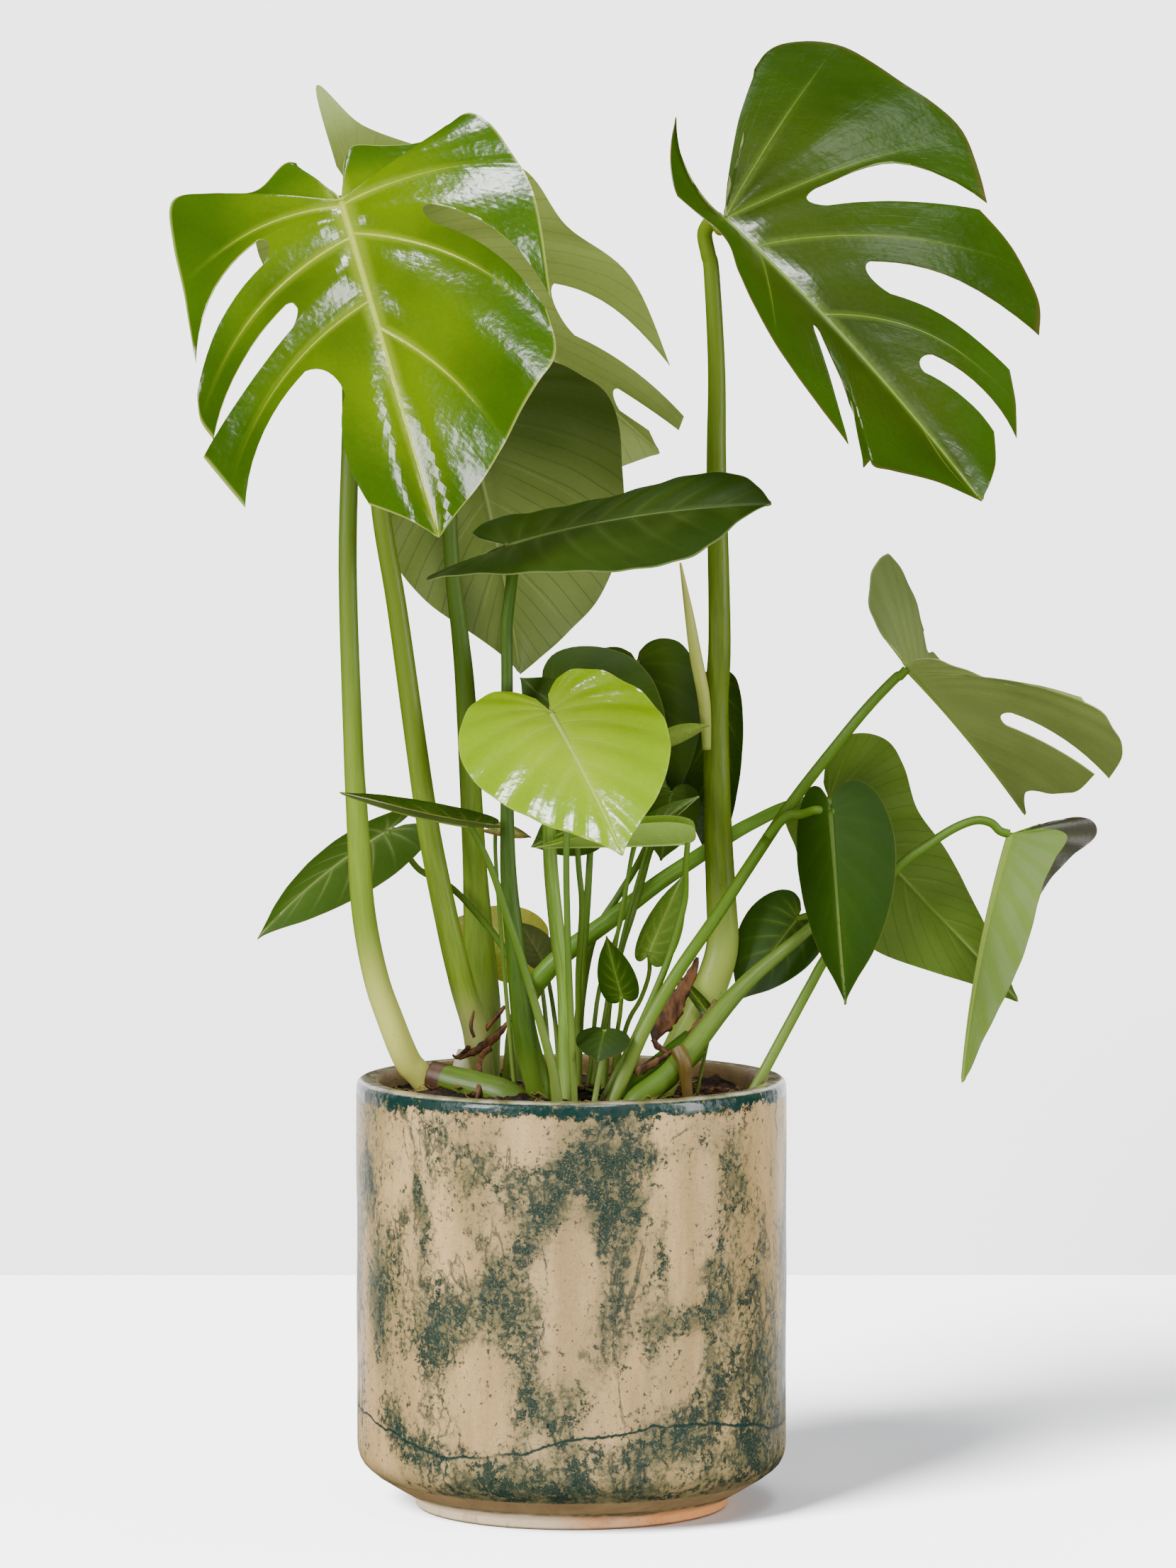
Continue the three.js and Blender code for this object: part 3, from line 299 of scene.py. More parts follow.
rearLeafRows = rowTable(
    (0, -12, 4, 0, 0, -10, 5, 0, 0), (0, -30, 17, 0, 0, -20, 15, 0, 0), (0, -14, 16, 0, 0, -14, 25, 0, 0),
    (0, 5, 22, 10, 0, 4, 30, 10, 0), (5, 24, 32, 10, 0, 22, 32, 10, 0), (14, 43, 28, 15, 0, 42, 34, 10, 4),
    (24, 64, 28.5, 20, 0, 50, 33, 12, 0), (36, 87, 18, 36, 4, 68, 34, 10, 4),
    (44, 98, 11, 16, 0, 76, 30, 10, 0), (58, 99.5, 7.5, 5, 0, 87, 22, 10, 0),
    (74, 94, 2.5, 0, 0, 94, 10, 5, 0))
rearLeafCuts = [(1, 7, 0.38), (1, 9, 0.56), (-1, 5, 0.56), (-1, 7, 0.56)]
outerLeafRows = rowTable(
    (0, -4, 6, 0, 0, -6, 3, 0, 0), (0, -3, 15, 0, 0, -20, 4, 0, 0), (0, 3, 21, 0, 0, -29, 14, 0, 0),
    (2, 13, 32, 5, 0, -25, 36, 0, 0), (5, 23, 52, 10, 0, -14, 55, 0, 0), (9, 31.5, 78, 15, 0, -6, 61, 0, 0),
    (13, 48, 80, 20, 0, 4, 54, 0, 0), (18, 66.7, 73, 25, 0, 12, 37, 0, 0),
    (24, 84, 54, 36, 0, 15, 22, 0, 0), (31, 81, 48, 18, 0, 22, 26, 0, 0), (46, 90, 33, 15, 0, 40, 22, 0, 0),
    (60, 90, 20, 10, 0, 60, 15, 0, 0), (76, 87, 8, 0, 0, 80, 7, 0, 0))
outerLeafCuts = [(1, 8, 0.38)]
levelLeafRows = rowTable(
    (0, -12, 3, 0, 0, -6, 4, 0, 0), (0, -27, 6, 0, 0, -14, 12, 0, 0), (0, -29, 13, 0, 0, -18, 20, 0, 0),
    (0, -14, 22, 10, 0, -10, 25, 10, 0), (4, 10, 38, 10, 0, 5, 20, 10, 0),
    (12, 32, 46, 10, 0, 20, 18, 10, 0), (22, 54, 53, 12, 0, 38, 18, 12, 0),
    (34, 70, 53, 12, 0, 54, 22, 12, 0), (48, 82, 47, 12, 0, 67, 25.5, 12, 0),
    (62, 89, 33, 8, 0, 82, 23, 8, 0), (80, 95, 12, 0, 0, 93, 12, 0, 0))
hangingLeafRows = rowTable(
    (0, -5, 4, 0, 0, -5, 3, 0, 0), (0, -10, 14, 0, 0, -10, 12, 0, 0), (0, -8, 30, 0, 0, -6, 24, 0, 0),
    (0, 0, 44, 10, 0, 4, 33, 10, 0), (2, 12, 53, 15, 0, 18, 38, 15, 0), (10, 34, 51, 15, 0, 40, 40, 15, 0),
    (22, 58, 45, 12, 0, 56, 37, 12, 0), (38, 77, 34, 10, 0, 71, 28, 10, 0),
    (58, 88, 20, 5, 0, 85, 13, 5, 0), (80, 96, 7, 0, 0, 94, 4, 0, 0))
lowLeafRows = rowTable(
    (0, -6, 3, 0, 0, -4, 4, 0, 0), (0, -13, 12, 0, 0, -10, 10, 0, 0), (0, -12, 22, 0, 0, -5, 16, 0, 0),
    (0, -2, 29, 0, 0, 5, 20, 0, 0), (4, 10, 27, 10, 0, 14, 24, 10, 0), (12, 25, 20, 10, 0, 32, 27, 10, 0),
    (24, 43, 17.5, 10, 0, 53, 25, 10, 0), (40, 60, 13, 10, 0, 72, 15.5, 10, 0),
    (60, 77, 8, 5, 0, 88, 6, 5, 0), (80, 92, 3, 0, 0, 95, 3, 0, 0))
foldedLeafRows = rowTable(
    (0, -2, 5, 0, 0, -3, 5, 0, 0), (0, -6, 14, 0, 0, -12, 18, 0, 0), (0, -5, 23, 0, 0, -19, 34, 0, 0),
    (2, 5, 21, 10, 0, -14, 41, 0, 0), (6, 15, 19, 10, 0, -2, 33, 10, 0),
    (12, 25, 18.5, 10, 0, 10, 26, 10, 0), (22, 40, 18, 10, 0, 25, 20, 10, 0),
    (36, 55, 15.5, 10, 0, 42, 17, 10, 0), (52, 70, 11, 8, 0, 62, 12.5, 8, 0),
    (70, 84, 6, 5, 0, 80, 6.5, 5, 0), (86, 94, 3, 0, 0, 93, 3, 0, 0))


# each half of an undivided leaf has its own width and ear length
def heart(left, right=None):
    rows = []
    for m, u, v, bow in [[n / 100 for n in row] for row in heartRows]:
        row = [m]
        for wide, ear in (left, right or left):
            row += [u * ear if u < 0 else u, v * wide, bow, 0]
        rows.append(row)
    return rows


def veinPoint(row, side, s):
    m = row[0]
    u, v, bow, hook = row[1:5] if side > 0 else row[5:9]
    end = u - hook
    controlU = (m + end) / 2 - bow * v
    controlV = v / 2 + bow * (end - m)
    return ((1 - s) ** 2 * m + 2 * s * (1 - s) * controlU + s * s * end + hook * s ** 8,
            2 * s * (1 - s) * controlV + s * s * v)


def spread(value, count):
    return value if isinstance(value, tuple) else (value,) * count


# the frame that a leaf is bent in: bend along the midrib, fold (left base, left tip, right base,
# right tip) and curl (left, right) across it, and flare that lifts an ear, all in degrees
def leafFrame(leaf):
    base, tip, face = (Vector(leaf[key]) for key in ("base", "tip", "face"))
    chord = tip - base
    c = chord.normalized()
    n = (face - c * face.dot(c)).normalized()
    beta = math.radians(leaf.get("bend", 10))
    return {"base": base, "c": c, "n": n, "l": c.cross(n), "beta": beta,
            "length": chord.length * (beta / 2) / math.sin(beta / 2),
            "fold": spread(leaf.get("fold", 0), 4), "curl": spread(leaf.get("curl", 10), 2),
            "flare": leaf.get("flare", (0, 0))}


def bladePoint(shape, u, v, side):
    half = 0 if side > 0 else 1
    beta, length, c, n = shape["beta"], shape["length"], shape["c"], shape["n"]
    phi = beta / 2 - beta * u
    lift = shape["fold"][2 * half] + (shape["fold"][2 * half + 1] - shape["fold"][2 * half]) * u
    f = math.radians(lift + shape["flare"][half] * max(0, -u))
    k = math.radians(shape["curl"][half] or 0.01) / (0.5 * length)
    across = (math.sin(f) - math.sin(f - k * v * length)) / k
    height = (math.cos(f - k * v * length) - math.cos(f)) / k
    return (shape["base"] + c * (length / beta) * (math.sin(beta / 2) - math.sin(phi))
            + n * (length / beta) * (math.cos(phi) - math.cos(beta / 2))
            + shape["l"] * side * across + (n * math.cos(phi) - c * math.sin(phi)) * height)


def bladeNormal(shape, u):
    across = bladePoint(shape, u, 0.01, 1) - bladePoint(shape, u, 0.01, -1)
    along = bladePoint(shape, u + 0.01, 0, 1) - bladePoint(shape, u - 0.01, 0, 1)
    return across.cross(along).normalized()


# rows of the mesh from one side vein to the next and places across a half; then in millimetres the swell
# between veins, the waves, half the midrib's width and the thickness, and how wide a slit opens
blades = {
    "large": {"subRows": 9, "shares": (0, 0.008, 0.02, 0.04, 0.07, 0.105, 0.15, 0.2, 0.26, 0.32, 0.38, 0.44,
                                       0.5, 0.56, 0.63, 0.7, 0.77, 0.84, 0.9, 0.95, 0.98, 1),
              "quilt": 0.9, "wave": 1.6, "rib": 1.7, "thick": 0.7, "notch": 0.05, "smooth": 6},
    "small": {"subRows": 4, "shares": (0, 0.02, 0.06, 0.14, 0.26, 0.4, 0.55, 0.7, 0.84, 0.94, 1),
              "quilt": 0.25, "wave": 0.5, "rib": 0.8, "thick": 0.6, "notch": 0, "smooth": 1},
}


openRoom = 160  # where no vein is on one side
fullRoom = 26  # veins this far apart have the full quilt between them
skin = {"waveSize": 0.014, "fineSize": 0.06, "fineShare": 0.12, "grooveWidth": 1.3, "grooveDepth": 0.5}


# the lobes of one half: runs of rows between its slits
def lobes(leaf, side):
    after = sorted(cut[1] for cut in leaf.get("cuts", ()) if cut[0] == side)
    starts = [0] + [row + 1 for row in after]
    ends = after + [len(leaf["rows"]) - 1]
    return list(zip(starts, ends))


# where the side veins of one half run: along the middle of a narrow lobe, else on its inner rows
def veinRows(leaf, side):
    if "veins" in leaf:
        return leaf["veins"][0 if side > 0 else 1]
    places = []
    for low, high in lobes(leaf, side):
        if high - low == 1:
            places.append(low + 0.5)
        else:
            places += range(low + 1, high)
    return places


bladeLayers = ("row", "midrib", "vein", "room", "share", "under")


def addBlade(bm, leaf, kind):
    make = dict(blades[kind], **{key: leaf[key] for key in ("quilt", "wave") if key in leaf})
    shape = leafFrame(leaf)
    rows = leaf["rows"]
    layers = {key: bm.verts.layers.float[key] for key in bladeLayers}
    sheetVerts = []
    for side in (1, -1):
        cuts = {cut[1]: cut[2] for cut in leaf.get("cuts", ()) if cut[0] == side}
        runs = lobes(leaf, side)
        shares = make["shares"]

        def place(t, share):
            i = min(int(t), len(rows) - 2)
            low, high = next(((a, b) for a, b in runs if a <= t <= b), (i, i + 1))
            row = through(rows, t, low, high)
            u, v = veinPoint(row, side, share)
            return bladePoint(shape, u, v, side), u, v

        veins = [(t, [place(t, share)[0] for share in shares]) for t in veinRows(leaf, side)]
        subRows = make["subRows"]
        steps = (len(rows) - 1) * subRows
        columns = len(shares) - 1
        grid = bmesh.ops.create_grid(bm, x_segments=steps, y_segments=columns, size=0.5)["verts"]
        spots = {vert: (round((vert.co.x + 0.5) * steps), round((vert.co.y + 0.5) * columns))
                 for vert in grid}
        for vert, (i, j) in spots.items():
            t = i / subRows
            share = shares[j]
            span = min(int(t), len(rows) - 2)
            if span in cuts:
                f = t - span
                share *= 1 - make["notch"] / cuts[span] * 4 * f * (1 - f) * softStep(share, 0.1, cuts[span])
            point, u, v = place(t, share)
            k = sum(at <= t for at, line in veins)
            before = (point - veins[k - 1][1][j]).length if k else openRoom / 2
            after = (point - veins[k][1][j]).length if k < len(veins) else openRoom / 2
            room = max(0.5, before + after)
            if k in (0, len(veins)):
                room = openRoom
                before = openRoom - after if k == 0 else before
            quilt = math.sin(math.pi * before / room) ** 2 * min(1, room / fullRoom)
            ribHalf = make["rib"] * (1 - 0.75 * max(0, min(1, u)))
            veinHalf = make["rib"] * 0.42 * (1 - 0.65 * share) + 0.12
            vert[layers["row"]] = t
            vert[layers["midrib"]] = v * shape["length"] / ribHalf
            vert[layers["vein"]] = k - 1 + before / room
            vert[layers["room"]] = room / veinHalf
            vert[layers["share"]] = share
            wave = noise.noise(point * skin["waveSize"] + Vector((3.1 * len(rows), 0, 0)))
            wave *= softStep(share, 0.3, 1)
            fine = noise.noise(point * skin["fineSize"] + Vector((0, 7.7, 0))) * skin["fineShare"]
            groove = math.exp(-(v * shape["length"] / (skin["grooveWidth"] * ribHalf)) ** 2)
            groove *= -skin["grooveDepth"]
            lift = make["quilt"] * (quilt + fine) * softStep(v * shape["length"], 1, 12)
            lift += make["wave"] * wave + groove * make["rib"] / 1.7
            vert.co = point * mm
            vert[layers["under"]] = lift  # until the halves are joined
        gone = []
        for face in {face for vert in grid for face in vert.link_faces}:
            cells = [spots[vert] for vert in face.verts]
            span = min(cell[0] for cell in cells) // subRows
            if span in cuts and max(shares[cell[1]] for cell in cells) > cuts[span] + 1e-6:
                gone.append(face)
        bmesh.ops.delete(bm, geom=gone, context="FACES")
        left = [vert for vert in grid if vert.is_valid]
        if side > 0:
            bmesh.ops.reverse_faces(bm, faces=list({face for vert in left for face in vert.link_faces}))
        sheetVerts += left
    bmesh.ops.remove_doubles(bm, verts=sheetVerts, dist=0.02 * mm)
    sheetVerts = [vert for vert in sheetVerts if vert.is_valid]
    edges = list({edge for vert in sheetVerts for edge in vert.link_edges})
    bmesh.ops.dissolve_degenerate(bm, edges=edges, dist=0.01 * mm)
    sheetVerts = [vert for vert in sheetVerts if vert.is_valid]
    bm.normal_update()
    for vert in sheetVerts:
        vert.co += vert.normal * vert[layers["under"]] * mm
        vert[layers["under"]] = 0
    inside = [vert for vert in sheetVerts if not vert.is_boundary and vert[layers["midrib"]] > 0.5]
    for step in range(make["smooth"]):
        bmesh.ops.smooth_vert(bm, verts=inside, factor=0.5,
                              use_axis_x=True, use_axis_y=True, use_axis_z=True)
    bm.normal_update()
    faces = list({face for vert in sheetVerts for face in vert.link_faces})
    lean = bm.verts.layers.float_vector["lean"]
    for vert in {vert for face in faces for vert in face.verts}:
        vert[lean] = vert.normal
    grown = bmesh.ops.extrude_face_region(bm, geom=faces, use_keep_orig=True)["geom"]
    new = [item for item in grown if isinstance(item, bmesh.types.BMVert)]
    for vert in new:
        vert.co -= vert[lean] * make["thick"] * mm
        vert[layers["under"]] = 1
    shell = list({face for vert in new + sheetVerts for face in vert.link_faces})
    bmesh.ops.recalc_face_normals(bm, faces=shell)
    for face in {face for vert in new for face in vert.link_faces}:
        if len({vert[layers["under"]] for vert in face.verts}) > 1:
            for edge in face.edges:
                if edge.verts[0][layers["under"]] == edge.verts[1][layers["under"]]:
                    edge.smooth = False
    ribRoute = [bladePoint(shape, u, 0, 1) - bladeNormal(shape, u) * (make["thick"] + 0.25)
                for u in [0.985 * step / 16 for step in range(17)]]
    rib = make["rib"]
    addTube(bm, ribRoute, (rib, rib * 0.7, rib * 0.45, rib * 0.22), 8, 2, under=1)


def startMesh():
    bm = bmesh.new()
    for key in bladeLayers + ("along", "turn"):
        bm.verts.layers.float.new(key)
    bm.verts.layers.float_vector.new("lean")
    return bm


# a round tube through a route, with fine steps from point to point
def addTube(bm, route, radii, sides, fine, material=0, under=0):
    spans = (len(route) - 1) * fine
    centres = [Vector(through(route, i / fine)) for i in range(spans + 1)]
    layers = {key: bm.verts.layers.float[key] for key in ("along", "turn", "under")}
    old = set(bm.faces)
    grid = bmesh.ops.create_grid(bm, x_segments=spans, y_segments=sides, size=0.5)["verts"]
    frames = []
    lengths = [0.0]
    across = Vector((1, 0, 0))
    for i, centre in enumerate(centres):
        along = (centres[min(spans, i + 1)] - centres[max(0, i - 1)]).normalized()
        across = (across - along * across.dot(along)).normalized()
        frames.append((across.copy(), along.cross(across)))
        if i:
            lengths.append(lengths[-1] + (centre - centres[i - 1]).length)
    for vert in grid:
        i = round((vert.co.x + 0.5) * spans)
        j = round((vert.co.y + 0.5) * sides) % sides
        radius = through([(r,) for r in radii], i / spans * (len(radii) - 1))[0]
        turn = 2 * math.pi * j / sides
        out = frames[i][0] * math.cos(turn) + frames[i][1] * math.sin(turn)
        vert.co = (centres[i] + out * radius) * mm
        vert[layers["along"]] = lengths[i]
        vert[layers["turn"]] = j / sides
        vert[layers["under"]] = under
    bmesh.ops.remove_doubles(bm, verts=grid, dist=0.005 * mm)
    grid = [vert for vert in grid if vert.is_valid]
    rims = {edge for vert in grid for edge in vert.link_edges if edge.is_boundary}
    bmesh.ops.holes_fill(bm, edges=list(rims), sides=sides)
    made = [face for face in bm.faces if face not in old]
    bmesh.ops.recalc_face_normals(bm, faces=made)
    for face in made:
        face.material_index = material
        face.smooth = True


# the stalk's top stands square to the underside of its blade
def underBase(leaf):
    shape = leafFrame(leaf)
    normal = bladeNormal(shape, 0)
    return [shape["base"] - normal * depth for depth in (1.15, 7)]


rootHeight = 216  # where the stalks end in the soil


# a route goes on in its last direction, or more steeply, until it is down in the soil
def rooted(route):
    before, last = Vector(route[-2]), Vector(route[-1])
    along = (last - before).normalized()
    along.z = min(along.z, -0.55)
    return route + [last + along * ((rootHeight - last.z) / along.z)]


# ---- the leaves, each with its stalk ----
# base, tip, where the face looks, the rows of side veins, then the stalk's radii and its route from
# the base to the soil. veins are the rows where veins show, for the left and the right half; cuts are
# the slits: side, the row they follow and where they start, as a share of the way out.
largeLeaves = [
    {"name": "front_left_leaf", "base": (-132, -28, 758), "tip": (-74, -135, 570),
     "face": (-0.1, -0.8, 0.6), "rows": frontLeafRows, "veins": ((2.6, 5.7, 9, 11.6),
     (3.4, 5.3, 8.8, 12.8)), "quilt": 4.2, "wave": 3.4, "cuts": frontLeafCuts, "bend": 20, "fold": 4,
     "curl": 12, "radii": (4.6, 5, 5.4, 6.8, 8, 7.6), "route": ((-131, -14, 739), (-129, -8, 690),
     (-127, -10, 639), (-129, -14, 548), (-126, -14, 445), (-124, -12, 405), (-121, -6, 351),
     (-114, 0, 310), (-105, 6, 282), (-96, 12, 259), (-88, 15, 249))},
    {"name": "rear_left_leaf", "base": (-122, 46, 755), "tip": (52, 115, 609), "face": (-0.35, 0.7, 0.62),
     "rows": rearLeafRows, "cuts": rearLeafCuts, "bend": 14, "fold": (10, 10, -20, -40), "curl": 10,
     "radii": (4.6, 5, 5.6, 6.6, 7.6, 7.8), "route": ((-124, 42, 735), (-119, 40, 690), (-115, 38, 628),
     (-111, 36, 576), (-102, 36, 522), (-91, 36, 442), (-83, 36, 388), (-72, 38, 333), (-64, 42, 299),
     (-57, 48, 274), (-54, 54, 252))},
    {"name": "hanging_leaf", "base": (-65, 45, 645), "tip": (-30, 59, 481), "face": (0.2, 0.9, 0.3),
     "rows": hangingLeafRows, "bend": 24, "fold": 4, "curl": 14, "radii": (4, 4.2, 5, 7, 10, 9),
     "route": ((-69, 34, 622), (-71, 34, 575), (-69, 37, 538), (-65, 42, 503), (-62, 48, 467),
     (-58, 62, 385), (-56, 70, 344), (-54, 73, 309), (-52, 78, 280), (-52, 80, 256))},
    {"name": "level_leaf", "base": (-36, -48, 562), "tip": (113, -95, 587), "face": (0, -0.3, 0.95),
     "rows": levelLeafRows, "bend": 16, "fold": (4, 4, 14, 14), "curl": 14,
     "radii": (3.6, 3.4, 3.6, 5.5, 7.4, 7.4), "route": ((-34, -38, 543), (-37, -34, 515), (-37, -33, 482),
     (-37, -32, 407), (-36, -30, 366), (-32, -28, 326), (-28, -24, 286), (-23, -20, 261), (-18, -16, 242))},
    {"name": "right_leaf", "base": (88, -10, 748), "tip": (229, -150, 591), "face": (0.3, -0.75, 0.6),
     "rows": rightLeafRows, "veins": ((3, 9.5), (3.9, 6.1, 9.3, 13)), "quilt": 2.4, "wave": 3,
     "cuts": rightLeafCuts, "bend": 14, "fold": (36, 10, 4, -4), "curl": (4, 12), "flare": (220, 0),
     "radii": (4, 4.4, 4.8, 6.6, 8.6, 10, 9), "route": ((83, 2, 748), (77, 10, 740), (79, 13, 727),
     (81, 14, 716), (84, 16, 659), (84, 18, 601), (86, 20, 505), (84, 24, 463), (85, 26, 402),
     (87, 27, 356), (88, 28, 325), (82, 26, 303), (75, 22, 290), (64, 18, 268))},
    {"name": "bright_heart_leaf", "base": (-12, -62, 468), "tip": (29, -140, 392), "face": (0, -0.62, 0.75),
     "rows": heart((1.12, 1.3), (1.1, 1.35)), "quilt": 1.6, "wave": 1.4, "bend": 16, "fold": 2, "curl": 12,
     "radii": (3.4, 3.6, 4.2, 4.6, 4.6), "route": ((-13, -30, 440), (-13, -12, 406), (-12, -10, 373),
     (-8, -12, 333), (-4, -14, 306), (-3, -20, 259))},
    {"name": "outer_leaf", "base": (195, 10, 488), "tip": (268, 80, 397), "face": (0.3, 0.6, 0.7),
     "rows": outerLeafRows, "cuts": outerLeafCuts, "bend": 10, "fold": (0, 0, 75, 75), "curl": 8,
     "radii": (2.6, 3, 3.4, 3.8, 4), "route": ((188, 10, 482), (172, 12, 465), (155, 14, 444),
     (129, 10, 411), (106, 0, 378), (83, -10, 344), (62, -16, 314), (44, -20, 284), (30, -23, 253))},
    {"name": "low_right_leaf", "base": (150, 34, 409), "tip": (263, 60, 288), "face": (-0.2, 0.9, 0.35),
     "rows": lowLeafRows, "bend": 16, "fold": 6, "curl": 10, "radii": (3, 3.6, 4.4, 5.4, 6.4, 6.6),
     "route": ((142, 26, 409), (125, 32, 405), (107, 38, 396), (93, 40, 388), (72, 42, 374), (50, 44, 359),
     (23, 46, 338), (0, 48, 321), (-15, 50, 307), (-26, 56, 291), (-32, 62, 270), (-34, 66, 250))},
    {"name": "dark_heart_leaf", "base": (149, -20, 407), "tip": (157, -52, 298), "face": (-0.1, -0.95, 0.3),
     "rows": heart((0.55, 0.9), (0.7, 0.9)), "quilt": 0.3, "wave": 0.8, "bend": 14,
     "fold": (-40, -40, -14, -14), "curl": 6, "radii": (2.4, 2.8, 3), "route": ((142, -12, 407),
     (134, -4, 404), (124, 0, 402), (113, -2, 390)), "hangs": True},
    {"name": "folded_leaf", "base": (256, 20, 390), "tip": (227, -6, 248), "face": (0.95, 0.1, -0.1),
     "rows": foldedLeafRows, "bend": -12, "fold": 62, "curl": 6, "radii": (2.6, 2.6, 2.8, 3, 3.2),
     "route": ((244, 19, 397), (235, 18, 398.5), (222, 14, 394), (207, 8, 385), (191, 2, 374),
     (170, -3, 350), (149, -6, 323), (138, -8, 304), (126, -10, 282), (112, -12, 256))},
]
